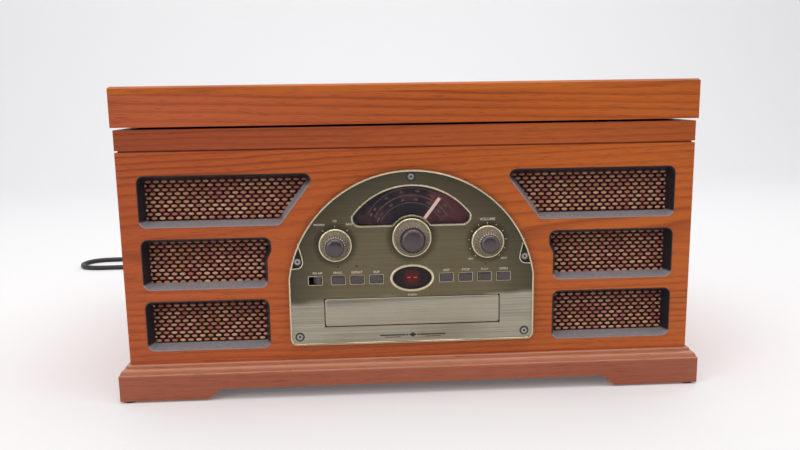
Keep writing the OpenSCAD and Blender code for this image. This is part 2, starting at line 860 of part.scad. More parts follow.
module tonearm() color("#c9cacd") {
    bar_y(arm_x, arm_axis_z, arm_y - arm_len + 34, arm_y + 30, arm_tube_r);
    bar_x(arm_x - 10.2, arm_x + 10.2, arm_y, arm_axis_z, 1.5);
    bar_x(arm_x - 6.5, arm_x + 6.5, arm_y, arm_axis_z, 4.5);
    // Headshell with its finger lift
    block(
        [arm_x - 8, arm_y - arm_len - 12, arm_axis_z - 1.5],
        [arm_x + 8, arm_y - arm_len + 36, arm_axis_z + 3]
    );
    block(
        [arm_x + 7, arm_y - arm_len - 8, arm_axis_z + 1],
        [arm_x + 20, arm_y - arm_len - 2, arm_axis_z + 2.5]
    );
    // Counterweight
    turned_y(arm_x, arm_axis_z)
        polygon([
            [0, arm_y + 22], [10, arm_y + 22], [11, arm_y + 23], [11, arm_y + 43], [10, arm_y + 44],
            [0, arm_y + 44]
        ]);
}

module cartridge() color("#7a1f1f") {
    stylus_y = arm_y - arm_len;
    block([arm_x - 6, stylus_y - 8, arm_axis_z - 6], [arm_x + 6, stylus_y + 14, arm_axis_z - 1.5]);
    block([arm_x - 1.2, stylus_y - 7, arm_axis_z - 7.2], [arm_x + 1.2, stylus_y + 2, arm_axis_z - 6 + 0.01]);
}

module speed_lever() color("#1a1a1c") {
    translate([speed_x, speed_y, deck_z + free]) cylinder(r = 8, h = 4);
    block([speed_x - 2, speed_y - 20, deck_z + free], [speed_x + 2, speed_y, deck_z + 4]);
    translate([speed_x, speed_y - 20, deck_z + free]) cylinder(r = 3.2, h = 8);
}

// ---- Loudspeakers --------------------------------------------------------------------------------------

module speaker_frame() {
    rim_y = baffle_t + cloth_t;
    neck = 16;
    magnet_r = 0.6 * speaker_r;
    back = rim_y + speaker_d;
    difference() {
        turned_y(speaker_x, speaker_z)
            polygon([
                [speaker_r - 7, rim_y], [speaker_r, rim_y], [speaker_r, rim_y + rim_t],
                [speaker_r - 4, rim_y + rim_t], [neck + 6, back - 17], [magnet_r, back - 17], [magnet_r, back],
                [0, back], [0, back - 15], [neck, back - 17], [neck, back - 19], [speaker_r - 7, rim_y + rim_t]
            ]);
        for (a = [45:90:315])
            translate([speaker_x, rim_y + 8, speaker_z]) rotate([0, a, 0])
                translate([neck + 8, 0, -8]) cube([speaker_r, back - rim_y - 32, 16]);
    }
}

module speaker_cone() {
    rim_y = baffle_t + cloth_t;
    turned_y(speaker_x, speaker_z)
        polygon([
            [speaker_r - 7.4, rim_y + 0.6], [speaker_r - 11, rim_y + 0.2], [speaker_r - 13, rim_y + 2],
            [11, rim_y + speaker_d - 26], [7, rim_y + speaker_d - 29], [0, rim_y + speaker_d - 31],
            [0, rim_y + speaker_d - 29.5], [11, rim_y + speaker_d - 24], [speaker_r - 12, rim_y + 3.4],
            [speaker_r - 10.6, rim_y + 1.8], [speaker_r - 7.4, rim_y + 1.8]
        ]);
}

module speaker_frames() color("#3a3a3c") at_front() {
    speaker_frame();
    mirror([1, 0, 0]) speaker_frame();
}

module speaker_cones() color("#2a2624") at_front() {
    speaker_cone();
    mirror([1, 0, 0]) speaker_cone();
}

// ---- Control panel -------------------------------------------------------------------------------------

// The dial window's outline, larger by grow
module window_outline(grow) {
    difference() {
        intersection() {
            round_rect([-window_hw - grow, window_z - grow], [window_hw + grow, window_z + 60], 6 + grow);
            translate([0, window_arc_z]) circle(r = window_arc_r + grow, $fn = 128);
        }
        translate([0, knob_z]) circle(r = bump_r - grow);
    }
}

// An oval about the display's centre
module oval(half_x, half_z) {
    translate([0, display_z])
        polygon([for (a = [0:6:354]) [half_x * cos(a), half_z * sin(a)]]);
}

// The notch at each side of the faceplate through which the black backing shows
module notch() {
    intersection() {
        translate([0, arch_z])
            polygon([
                [93.5, 44.5], [91.5, 43], [88.5, 31.8], [88, 27], [91.2, 23.1], [101, 22.7], [101, 44.5]
            ]);
        arch_outline(rim_w);
    }
}

module button_hole(x) {
    translate([x - button_w / 2, button_z - button_h / 2]) square([button_w, button_h]);
}

// Everything that both plates are pierced with
module panel_holes() {
    for (x = concat(button_x, [slot_x]))
        button_hole(x);
    oval(display_hx, display_hz);
    translate([-door_w / 2 - door_gap, door_z - door_gap])
        square([door_w + 2 * door_gap, door_h + 2 * door_gap]);
    translate([0, knob_z]) circle(r = shaft_r + 0.4);
    for (s = [-1, 1]) {
        translate([s * small_x, small_z]) circle(r = shaft_r + 0.4);
        translate([s * low_screw_x, low_screw_z]) circle(r = shank_r + 0.2);
    }
    translate([0, top_screw_z]) circle(r = shank_r + 0.2);
}

// A raised lip of width rim_w round the shape of its first child, less its second
module lip_y() {
    slab(plate_front - rim_h, plate_front + 0.1)
        difference() {
            children(0);
            children(1);
        }
}

module faceplate() color("#a99b78") at_front() {
    difference() {
        union() {
            slab(plate_front, -backing_t) difference() {
                arch_outline(0);
                window_outline(0);
                panel_holes();
                notch();
                mirror([1, 0]) notch();
            }
            lip_y() {
                arch_outline(0);
                arch_outline(rim_w);
            }
            lip_y() {
                window_outline(1.2);
                window_outline(0);
            }
            lip_y() {
                oval(display_hx + 1.9, display_hz + 1.8);
                oval(display_hx, display_hz);
            }
        }
        for (s = [-1, 1])
            bar_y(s * low_screw_x, low_screw_z, plate_front - 1, plate_front + 0.6, 3.8);
        bar_y(0, top_screw_z, plate_front - 1, plate_front + 0.6, 3.8);
    }
}

module panel_backing() color("#141314") at_front() {
    slab(-backing_t, 0) difference() {
        arch_outline(0.6);
        window_outline(1.2);
        panel_holes();
        for (s = [-1, 1])
            translate([s * notch_screw_x, notch_screw_z]) circle(r = shank_r + 0.2);
    }
    for (p = post_places)
        bar_y(p[0], p[1], -overlap, board_y, post_r);
    for (s = [-1, 1])
        bar_y(s * scale_boss_x, window_z + 6, -overlap, scale_y, scale_boss_r);
}

module screws() color("#c4c4c8") at_front() {
    for (s = [-1, 1]) {
        screw_y(s * low_screw_x, low_screw_z, plate_front + 0.6, 9);
        screw_y(s * notch_screw_x, notch_screw_z, -backing_t, 8);
        for (z = back_screw_z)
            mirror([0, 1, 0]) screw_y(s * (inner_x + rabbet_w / 2), z, -body_d, 13);
    }
    screw_y(0, top_screw_z, plate_front + 0.6, 9);
}

module dial_lens() color("#24202c", 0.6) at_front()
    slab(-backing_t, -backing_t + 1.2) window_outline(1.1);

module dial_scale() color("#1c1622") at_front()
    slab(scale_y, scale_y + 1) {
        window_outline(2.5);
        for (s = [-1, 1])
            translate([s * scale_boss_x, window_z + 6]) circle(r = scale_boss_r + 1.4);
    }

// A control knob: a metal ring, a cone and a domed cap, on its shaft
module knob(x, z, ring_r, front, shaft_end) {
    back = plate_front - 0.5;
    cone_r = ring_r - 2;
    cap_r = ring_r - 5.5;
    turned_y(x, z)
        polygon([
            [0, back], [ring_r, back], [ring_r, back - 1.8], [ring_r - 1, back - 2.6], [cone_r, back - 2.6],
            [cap_r + 0.8, front + 4.5], [cap_r, front + 3], [cap_r * 0.85, front + 1.2],
            [cap_r * 0.5, front + 0.3], [0, front]
        ]);
    bar_y(x, z, back - overlap, shaft_end, shaft_r);
}

module tuning_knob() color("#6d6258") at_front() {
    knob(0, knob_z, tuning_r, -knob_reach, board_y + board_t + 5);
    slab(gear_y, gear_y + gear_w) translate([0, knob_z]) gear_outline(tuning_teeth, gear_m, gear_turn);
}

module dial_pointer() color("#e9c9c2") at_front()
    slab(0.5, 1.3)
        difference() {
            translate([0, knob_z]) rotate(-pointer_turn) {
                circle(r = 6);
                translate([-1.2, 0]) square([2.4, pointer_len]);
                translate([-3, -10]) square([6, 10]);
            }
            translate([0, knob_z]) circle(r = shaft_r);
        }

module capacitor_gear() color("#c9a24a") at_front() {
    slab(gear_y, gear_y + gear_w)
        translate([capacitor_x, capacitor_z])
            gear_outline(capacitor_teeth, gear_m, gear_turn + 180 + 180 / capacitor_teeth);
    bar_y(capacitor_x, capacitor_z, gear_y + gear_w - overlap, board_y + board_t + 5, 2);
}

module selector_knob() color("#6d6258") at_front()
    knob(-small_x, small_z, small_r, -knob_reach + 1.5, board_y + board_t + 5);

module volume_knob() color("#6d6258") at_front()
    knob(small_x, small_z, small_r, -knob_reach + 1.5, board_y + board_t + 5);

// The circuit board behind the panel, with the parts that the knobs and buttons work
module control_board() color("#2f5d3a") at_front() {
    part_y = board_y + board_t;
    difference() {
        union() {
            block([-87, board_y, door_z + door_h + 7], [87, part_y, knob_z + 12]);
            block([-16, part_y - 0.1, knob_z - 22], [26, part_y + 18, knob_z + 10]);
            for (s = [-1, 1])
                bar_y(s * small_x, small_z, part_y - 0.1, part_y + 10, 9);
            for (x = button_x)
                block([x - 3, board_y - switch_gap, button_z - 3], [x + 3, board_y + 0.1, button_z + 3]);
        }
        bar_y(0, knob_z, board_y - 1, part_y + 5.3, shaft_r + running);
        bar_y(capacitor_x, capacitor_z, board_y - 1, part_y + 5.3, 2 + running);
        for (s = [-1, 1])
            bar_y(s * small_x, small_z, board_y - 1, part_y + 5.3, shaft_r + running);
    }
}

module display_module() color("#7c1626") at_front() {
    slab(-backing_t - 0.4, 0) oval(display_hx - 0.2, display_hz - 0.2);
    block([-12, -overlap, display_z - 6], [12, board_y, display_z + 6]);
}

// A push button: its cap in the faceplate, a collar behind the backing and a stem to its switch
module push_button(x) {
    cap_w = button_w - 0.6;
    cap_h = button_h - 0.6;
    front = plate_front - 1.4;
    collar_y = free;
    block(
        [x - cap_w / 2, front, button_z - cap_h / 2],
        [x + cap_w / 2, collar_y + 0.5, button_z + cap_h / 2]
    );
    block(
        [x - button_w / 2 - 0.9, collar_y, button_z - button_h / 2 - 0.9],
        [x + button_w / 2 + 0.9, collar_y + 1.2, button_z + button_h / 2 + 0.9]
    );
    bar_y(x, button_z, collar_y + 1, board_y - switch_gap - button_travel - 0.3, 1.6);
}

module button_skip_back() color("#4a3634") at_front() push_button(button_x[2]);

module button_repeat() color("#4a3634") at_front() push_button(button_x[1]);

module button_program() color("#4a3634") at_front() push_button(button_x[0]);

module button_skip_forward() color("#4a3634") at_front() push_button(button_x[3]);

module button_stop() color("#4a3634") at_front() push_button(button_x[4]);

module button_play() color("#4a3634") at_front() push_button(button_x[5]);

module button_open() color("#4a3634") at_front() push_button(button_x[6]);

module band_slider() color("#2b2426") at_front() {
    cap_h = button_h - 0.6;
    x1 = slot_x + button_w / 2 - 0.5;
    block(
        [x1 - slider_w, plate_front - 1.2, button_z - cap_h / 2],
        [x1, free + 0.5, button_z + cap_h / 2]
    );
    block(
        [x1 - slider_w - 2.4, free, button_z - button_h / 2 - 0.8],
        [x1 + 2.8, free + 1.2, button_z + button_h / 2 + 0.8]
    );
}

// ---- Disc drawer ---------------------------------------------------------------------------------------

module cd_door() color("#b3a582") at_front()
    slab(plate_front, plate_front + 1.8)
        round_rect([-door_w / 2, door_z], [door_w / 2, door_z + door_h], 2);

module cd_tray() color("#1b1b1d") at_front() {
    pitch = PI * rack_m;
    rack_end = tray_len - 1;
    difference() {
        block([-tray_hw, tray_y, tray_z], [tray_hw, tray_y + tray_len, tray_z + tray_t]);
        translate([0, disc_y, tray_z + tray_t - 5.5]) cylinder(r = disc_r, h = 10, $fn = 128);
        block([-16, disc_y - 22, tray_z - 1], [16, tray_y + tray_len + 1, tray_z + tray_t + 1]);
        block([-tray_hw - 1, tray_y + 4, tray_z - 1], [-tray_hw + 2, tray_y + tray_len + 1, tray_z + 0.5]);
    }
    translate([0, 0, tray_z + 1])
        linear_extrude(pinion_w)
            for (y = [pinion_y + pitch / 2 - 3 * pitch:pitch:rack_end])
                polygon([
                    [-tray_hw + 0.1, y - 0.95], [-tray_hw + 0.1, y + 0.95], [-rack_line, y + 0.6],
                    [-rack_line - 0.8, y + 0.28], [-rack_line - 0.8, y - 0.28], [-rack_line, y - 0.6]
                ]);
}

module loader_pinion() color("#e8e6de") at_front()
    translate([pinion_x, pinion_y, tray_z + 1])
        linear_extrude(pinion_w)
            difference() {
                gear_outline(pinion_teeth, rack_m, 0);
                circle(r = 2 + running);
            }

module cd_loader() color("#56585b") at_front() {
    top = loader_floor + loader_h;
    end_y = loader_y + loader_len;
    block([-loader_hw, loader_y, loader_floor], [loader_hw, end_y, loader_floor + floor_t]);
    for (s = [-1, 1]) {
        block(
            [s * loader_hw - (s + 1) / 2 * loader_t, loader_y, loader_floor],
            [s * loader_hw - (s - 1) / 2 * loader_t, end_y, top]
        );
        // Rail under the tray
        block([s * 52 - 4, loader_y, loader_floor], [s * 52 + 4, end_y, tray_z - free]);
        for (y = [loader_y + 20, end_y - 10])
            translate([s * (loader_hw - 8), y, body_z])
                cylinder(r = 5, h = loader_floor - body_z + overlap);
    }
    // Bridge with the disc clamp
    block([-loader_hw, disc_y - 20, top - loader_t], [loader_hw, disc_y + 20, top]);
    translate([0, disc_y, top - 4]) cylinder(r = 14, h = 4);
    // Disc motor and the laser sled's block
    block([-30, disc_y - 18, loader_floor], [30, disc_y + 50, tray_z - 1.5]);
    translate([0, disc_y, loader_floor]) cylinder(r = 12, h = tray_z - 0.5 - loader_floor);
    // Pin that the pinion turns on
    translate([pinion_x, pinion_y, loader_floor]) cylinder(r = 2, h = tray_z + pinion_w + 2 - loader_floor);
    translate([pinion_x, pinion_y, loader_floor]) cylinder(r = 4, h = tray_z + 1 - free - loader_floor);
}

// ---- Electronics and mains lead ------------------------------------------------------------------------

module audio_board() color("#2f5d3a") at_front() {
    board_z = jack_z - 9;
    inside = body_d - back_t;
    block([70, inside - 80, board_z], [176, inside - 0.2, board_z + 1.6]);
    for (x = [78, 168])
        for (y = [inside - 72, inside - 12])
            translate([x, y, body_z]) cylinder(r = 3, h = board_z - body_z + overlap);
    for (x = jack_x) {
        block([x - 7, inside - 14, board_z + 1], [x + 7, inside - 0.2, jack_z + 7]);
        bar_y(x, jack_z, inside - 1, body_d + plinth_over - 1, jack_r);
    }
    // Heat sink of the output stage
    for (i = [0:fins - 1])
        block(
            [84 + fin_pitch * i, inside - 66, board_z + 1],
            [86 + fin_pitch * i, inside - 36, board_z + 1 + fin_h]
        );
    block([82, inside - 54, board_z + 1], [88 + fin_pitch * (fins - 1), inside - 48, board_z + 1 + fin_h]);
}

module transformer() color("#8a8d92") at_front() {
    x0 = -190;
    y0 = body_d - 84;
    block([x0, y0, body_z], [x0 + 74, y0 + 44, body_z + 2]);
    block([x0 + 10, y0, body_z + 1], [x0 + 64, y0 + 44, body_z + 46]);
    block([x0 + 18, y0 - 6, body_z + 9], [x0 + 56, y0 + 50, body_z + 38]);
}

module strain_relief() color("#161616") at_front() {
    inside = body_d - back_t;
    turned_y(relief_x, relief_z)
        polygon([
            [0, inside - 6], [cord_d / 2 + 4, inside - 6], [cord_d / 2 + 4, inside],
            [cord_d / 2 + 1.3, inside], [cord_d / 2 + 1.3, body_d], [cord_d / 2 + 3.2, body_d],
            [cord_d / 2 + 2.6, body_d + 4], [cord_d / 2 + 0.8, body_d + relief_len],
            [0, body_d + relief_len]
        ]);
}

// A point between b and c on a smooth curve through a, b, c and d
function between(a, b, c, d, t) =
    ((2 * b) + (c - a) * t + (2 * a - 5 * b + 4 * c - d) * t * t + (3 * b - a - 3 * c + d) * t * t * t) / 2;

function unit(v) = v / norm(v);

cord_last = len(cord_route) - 1;
cord_line = concat(
    [
        for (i = [0:cord_last - 1])
            for (s = [0:cord_steps - 1])
                let (p = between(
                    cord_route[max(i - 1, 0)], cord_route[i], cord_route[i + 1],
                    cord_route[min(i + 2, cord_last)], s / cord_steps
                ))
                [p[0], p[1], max(p[2], rest_z)]
    ],
    [cord_route[cord_last]]
);

// A closed tube of diameter d along a line of points
module swept_tube(line, d, sides) {
    last = len(line) - 1;
    rings = [
        for (i = [0:last])
            let (
                ahead = i == 0 ? [0, 1, 0] : i == last ? [0, -1, 0] : unit(line[i + 1] - line[i - 1]),
                side = unit(cross(ahead, [0, 0, 1])),
                up = cross(side, ahead)
            )
            for (k = [0:sides - 1])
                line[i] + d / 2 * (cos(360 * k / sides) * side + sin(360 * k / sides) * up)
    ];
    walls = [
        for (i = [0:last - 1])
            for (k = [0:sides - 1])
                let (a = i * sides + k, b = i * sides + (k + 1) % sides)
                [a, a + sides, b + sides, b]
    ];
    start = [for (k = [0:sides - 1]) k];
    end = [for (k = [sides - 1:-1:0]) last * sides + k];
    polyhedron(points = rings, faces = concat(walls, [start], [end]));
}

module power_cord() color("#1c1b1c") swept_tube(cord_line, cord_d, cord_sides);

module cord_coil() color("#1c1b1c") turned_z(coil_x, coil_y)
    polygon([
        [coil_r - coil_wide / 2 + 2, 0], [coil_r + coil_wide / 2 - 2, 0], [coil_r + coil_wide / 2, 2],
        [coil_r + coil_wide / 2, coil_tall - 2], [coil_r + coil_wide / 2 - 2, coil_tall],
        [coil_r - coil_wide / 2 + 2, coil_tall], [coil_r - coil_wide / 2, coil_tall - 2],
        [coil_r - coil_wide / 2, 2]
    ]);

module power_plug() color("#181818") {
    turned_y(plug_x, 6.5)
        polygon([[0, plug_y], [4, plug_y], [5.6, plug_y + 15], [0, plug_y + 15]]);
    block([plug_x - 11, plug_y + 14, 0], [plug_x + 11, plug_y + 38, 13]);
    for (s = [-1, 1])
        block(
            [plug_x + s * 6.35 - 0.75, plug_y + 37, 3.3],
            [plug_x + s * 6.35 + 0.75, plug_y + 55, 9.7]
        );
}

front_baffle();
side_panels();
back_panel();
bottom_board();
plinth();
base_moulding();
rubber_feet();
band_frame();
deck();
grille_cloths();
lid_frame();
lid_top();
hinge_lower_leaves();
hinge_upper_leaves();
stay_track();
stay_arm();
platter();
platter_mat();
spindle();
drive_belt();
drive_motor();
motor_pulley();
tonearm_mount();
tonearm_pivot();
tonearm();
cartridge();
cue_lever();
speed_lever();
speaker_frames();
speaker_cones();
faceplate();
panel_backing();
screws();
dial_lens();
dial_scale();
tuning_knob();
dial_pointer();
capacitor_gear();
selector_knob();
volume_knob();
control_board();
display_module();
button_skip_back();
button_repeat();
button_program();
button_skip_forward();
button_stop();
button_play();
button_open();
band_slider();
cd_tray();
cd_door();
cd_loader();
loader_pinion();
audio_board();
transformer();
strain_relief();
power_cord();
cord_coil();
power_plug();
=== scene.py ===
# Table-top wooden radio and record player console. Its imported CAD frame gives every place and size; this
# script gives each of its pieces its finished shape and surface, in the order in which they go together.
import math

import bmesh
import bpy
from mathutils import Matrix, Vector


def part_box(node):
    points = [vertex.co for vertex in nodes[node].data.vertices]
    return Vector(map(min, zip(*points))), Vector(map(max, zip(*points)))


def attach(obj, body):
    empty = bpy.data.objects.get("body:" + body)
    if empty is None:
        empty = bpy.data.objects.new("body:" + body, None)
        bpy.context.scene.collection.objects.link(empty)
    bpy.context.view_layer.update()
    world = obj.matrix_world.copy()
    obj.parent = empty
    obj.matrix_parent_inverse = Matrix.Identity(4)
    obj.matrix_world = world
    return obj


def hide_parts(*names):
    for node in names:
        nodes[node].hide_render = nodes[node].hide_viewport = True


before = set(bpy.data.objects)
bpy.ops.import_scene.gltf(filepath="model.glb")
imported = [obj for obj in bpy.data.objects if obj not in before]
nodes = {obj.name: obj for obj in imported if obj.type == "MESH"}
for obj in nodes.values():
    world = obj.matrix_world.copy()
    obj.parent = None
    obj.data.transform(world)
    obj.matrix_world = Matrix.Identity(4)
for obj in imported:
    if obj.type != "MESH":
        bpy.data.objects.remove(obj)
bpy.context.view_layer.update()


# ---- Studio --------------------------------------------------------------------------------------------
# The console stands on a pale sheet that sweeps up behind it. The camera stands in front, a little to the
# left and just under the height of the lid, and looks slightly down.
def corner(name, high=False):
    """A corner of a CAD node's box, in millimetres."""
    return Vector(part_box(name)[1 if high else 0]) * 1000


def middle(name):
    return (corner(name) + corner(name, True)) / 2


def node_tree(owner):
    owner.use_nodes = True
    owner.node_tree.nodes.clear()
    return owner.node_tree


class Finish:
    """A surface finish: one Principled shader, and short ways to place the nodes that feed it."""

    def __init__(self, name, **settings):
        self.material = bpy.data.materials.new(name)
        self.tree = node_tree(self.material)
        self.shader = self.tree.nodes.new("ShaderNodeBsdfPrincipled")
        out = self.tree.nodes.new("ShaderNodeOutputMaterial")
        self.tree.links.new(self.shader.outputs[0], out.inputs["Surface"])
        for key, value in settings.items():
            self.feed(key.replace("_", " ").title().replace("Ior", "IOR"), value)

    def put(self, socket, value):
        if isinstance(value, bpy.types.NodeSocket):
            self.tree.links.new(value, socket)
        elif socket.type == "RGBA":
            socket.default_value = (*value[:3], 1)
        else:
            socket.default_value = value

    def feed(self, name, value):
        self.put(self.shader.inputs[name], value)

    def node(self, kind, *inputs, settings=None, **named):
        made = self.tree.nodes.new(kind)
        for key, value in (settings or {}).items():
            setattr(made, key, value)
        for i, value in enumerate(inputs):
            self.put(made.inputs[i], value)
        for key, value in named.items():
            self.put(made.inputs[key.replace("_", " ")], value)
        return made

    def place(self, scale=(1, 1, 1), turn=(0, 0, 0), move=(0, 0, 0)):
        """Object coordinates in metres, moved, turned in degrees and scaled."""
        where = self.node("ShaderNodeTexCoord").outputs["Object"]
        moved = self.node("ShaderNodeVectorMath", where, move).outputs[0]
        turned = tuple(math.radians(a) for a in turn)
        return self.node("ShaderNodeMapping", Vector=moved, Rotation=turned, Scale=scale).outputs[0]

    def noise(self, where, scale, detail=3, rough=0.5):
        return self.node("ShaderNodeTexNoise", Vector=where, Scale=scale, Detail=detail,
                         Roughness=rough).outputs["Fac"]

    def maths(self, what, a, b=0.0, c=0.0):
        return self.node("ShaderNodeMath", a, b, c, settings={"operation": what}).outputs[0]

    def between(self, value, low, high, to_low=0.0, to_high=1.0):
        return self.node("ShaderNodeMapRange", Value=value, From_Min=low, From_Max=high, To_Min=to_low,
                         To_Max=to_high).outputs[0]

    def blend(self, share, a, b):
        made = self.node("ShaderNodeMix", settings={"data_type": "RGBA"})
        for i, value in ((0, share), (6, a), (7, b)):
            self.put(made.inputs[i], value)
        return made.outputs[2]

    def axis(self, where, letter):
        return self.node("ShaderNodeSeparateXYZ", where).outputs[letter]

    def group(self, tree, **inputs):
        made = self.tree.nodes.new("ShaderNodeGroup")
        made.node_tree = tree
        for key, value in inputs.items():
            self.put(made.inputs[key.replace("_", " ")], value)
        return made.outputs

    def relief(self, height, depth):
        """A bump from a height of 0 to 1 that stands for a depth in metres."""
        bump = self.node("ShaderNodeBump", Distance=depth, Height=height)
        self.feed("Normal", bump.outputs[0])


def tone(code):
    """A linear colour from an sRGB hex code."""
    parts = [int(code[i:i + 2], 16) / 255 for i in (0, 2, 4)]
    return tuple(c / 12.92 if c <= 0.04045 else ((c + 0.055) / 1.055) ** 2.4 for c in parts)


def piece(name, material, *shapes, sharp=35):
    """One mesh from shapes of points in millimetres and faces, smooth except at sharp edges."""
    points, faces = [], []
    for some_points, some_faces in shapes:
        start = len(points)
        points += [tuple(c / 1000 for c in p) for p in some_points]
        faces += [tuple(start + i for i in face) for face in some_faces]
    data = bpy.data.meshes.new(name)
    data.from_pydata(points, [], faces)
    work = bmesh.new()
    work.from_mesh(data)
    bmesh.ops.remove_doubles(work, verts=work.verts, dist=5e-7)
    bmesh.ops.recalc_face_normals(work, faces=work.faces)
    work.to_mesh(data)
    work.free()
    data.shade_smooth()
    data.set_sharp_from_angle(angle=math.radians(sharp))
    data.materials.append(material)
    made = bpy.data.objects.new(name, data)
    bpy.context.collection.objects.link(made)
    return made


FRONT = corner("front_baffle").y
camera_yaw, camera_pitch, camera_roll = (math.radians(a) for a in (3.01, 9.79, -0.87))
ahead = Vector((
    math.sin(camera_yaw) * math.cos(camera_pitch), math.cos(camera_yaw) * math.cos(camera_pitch),
    -math.sin(camera_pitch),
))
level = Vector((math.cos(camera_yaw), -math.sin(camera_yaw), 0))
upright = level.cross(ahead)
right = math.cos(camera_roll) * level + math.sin(camera_roll) * upright
top = math.cos(camera_roll) * upright - math.sin(camera_roll) * level
lens = bpy.data.cameras.new("camera")
lens.lens = 34.4
lens.sensor_width = 36
camera = bpy.data.objects.new("camera", lens)
camera.matrix_world = Matrix((right, top, -ahead)).transposed().to_4x4()
camera.location = (-0.041, (FRONT - 607) / 1000, 0.2454)
bpy.context.collection.objects.link(camera)
bpy.context.scene.camera = camera
bpy.context.scene.view_settings.view_transform = "Standard"

for name, place, size, power, tint in (
    ("ceiling_lamp", (0.1, -0.35, 1.9), (2.2, 1.6), 21, (1, 0.98, 0.95)),
    ("window_lamp", (-1.6, -1.5, 1.1), (1.1, 0.9), 9, (1, 0.97, 0.93)),
    ("side_lamp", (1.9, -0.9, 0.9), (1.0, 0.8), 2.2, (0.97, 0.985, 1)),
    ("wall_lamp", (0, 0.6, 1.7), (2.6, 0.6), 6, (1, 1, 1)),
):
    light = bpy.data.lights.new(name, "AREA")
    light.shape = "RECTANGLE"
    light.size, light.size_y = size
    light.energy = power
    light.color = tint
    lamp = bpy.data.objects.new(name, light)
    lamp.location = place
    aim = Vector((0, 1.3, 0.5)) if name == "wall_lamp" else Vector((0, 0, 0.1))
    lamp.rotation_euler = (aim - lamp.location).to_track_quat("-Z", "Y").to_euler()
    bpy.context.collection.objects.link(lamp)
    lamp.visible_camera = False

# The world gives an even fill, and looks paler to the camera and in shiny surfaces than it lights.
world = bpy.data.worlds.new("studio")
bpy.context.scene.world = world
studio = node_tree(world)
seen = studio.nodes.new("ShaderNodeBackground")
seen.inputs["Color"].default_value = (0.86, 0.86, 0.87, 1)
fill = studio.nodes.new("ShaderNodeBackground")
fill.inputs["Color"].default_value = (0.93, 0.95, 1, 1)
fill.inputs["Strength"].default_value = 0.48
mix = studio.nodes.new("ShaderNodeMixShader")
rays = studio.nodes.new("ShaderNodeLightPath")
either, any_ray = (studio.nodes.new("ShaderNodeMath") for _ in range(2))
either.operation = any_ray.operation = "MAXIMUM"
world_out = studio.nodes.new("ShaderNodeOutputWorld")
for source, target in (
    (rays.outputs["Is Camera Ray"], either.inputs[0]),
    (rays.outputs["Is Glossy Ray"], either.inputs[1]),
    (either.outputs[0], any_ray.inputs[0]),
    (rays.outputs["Is Transmission Ray"], any_ray.inputs[1]),
    (any_ray.outputs[0], mix.inputs["Fac"]),
    (fill.outputs[0], mix.inputs[1]),
    (seen.outputs[0], mix.inputs[2]),
    (mix.outputs[0], world_out.inputs["Surface"]),
):
    studio.links.new(source, target)

sheet_finish = Finish("pale_sheet", base_color=(0.87, 0.865, 0.87), roughness=0.8, emission_strength=0.11)
sheet_seen = sheet_finish.node("ShaderNodeLightPath").outputs["Is Camera Ray"]
sheet_finish.feed("Emission Color", sheet_finish.blend(sheet_seen, (0, 0, 0), (1, 1, 1)))
sweep_r, sweep_y, sheet_w, sheet_h = 500, 1300, 3500, 2600
sweep = [(-4000, 0), (sweep_y, 0)]
sweep += [
    (sweep_y + sweep_r * math.sin(math.radians(a)), sweep_r * (1 - math.cos(math.radians(a))))
    for a in range(6, 91, 6)
]
sweep += [(sweep_y + sweep_r, sheet_h)]
sheet = piece(
    "floor_sheet", sheet_finish.material,
    ([(x, y, z) for y, z in sweep for x in (-sheet_w, sheet_w)],
     [(2 * i, 2 * i + 1, 2 * i + 3, 2 * i + 2) for i in range(len(sweep) - 1)]),
)

# A dark cloth far in front darkens what the upper half of the metal panel mirrors.
flag = piece(
    "dark_flag", Finish("flag_cloth", base_color=(0.03, 0.03, 0.032), roughness=0.9).material,
    ([(-2200, -2900, 250), (2200, -2900, 250), (2200, -2900, 1500), (-2200, -2900, 1500)], [(0, 3, 2, 1)]),
)
flag.visible_camera = False


# ---- Mains lead ----------------------------------------------------------------------------------------
# Round 6.5 mm vinyl lead. It leaves the back board through a tapered grommet, drops to the table, lies in
# one long loop past the left of the cabinet, and the rest of it is coiled and tied behind, with its plug.
def tube(line, radius, sides=12, closed=False):
    """A round tube along points; radius is one number, or one for each point."""
    line = [Vector(p) for p in line]
    count = len(line)
    points, faces = [], []
    up = None
    for i, p in enumerate(line):
        before = line[i - 1] if i or closed else line[0]
        after = line[(i + 1) % count] if i + 1 < count or closed else line[-1]
        along = (after - before).normalized()
        if up is None:
            up = Vector((0, 0, 1)) if abs(along.z) < 0.9 else Vector((0, 1, 0))
        side = along.cross(up).normalized()
        up = side.cross(along).normalized()
        r = radius[i] if isinstance(radius, (list, tuple)) else radius
        for k in range(sides):
            a = 2 * math.pi * k / sides
            points.append(p + r * (math.cos(a) * side + math.sin(a) * up))
    for i in range(count if closed else count - 1):
        j = (i + 1) % count
        faces += [(i * sides + k, i * sides + (k + 1) % sides, j * sides + (k + 1) % sides, j * sides + k)
                  for k in range(sides)]
    if not closed:
        faces.append(tuple(range(sides - 1, -1, -1)))
        faces.append(tuple((count - 1) * sides + k for k in range(sides)))
    return points, faces


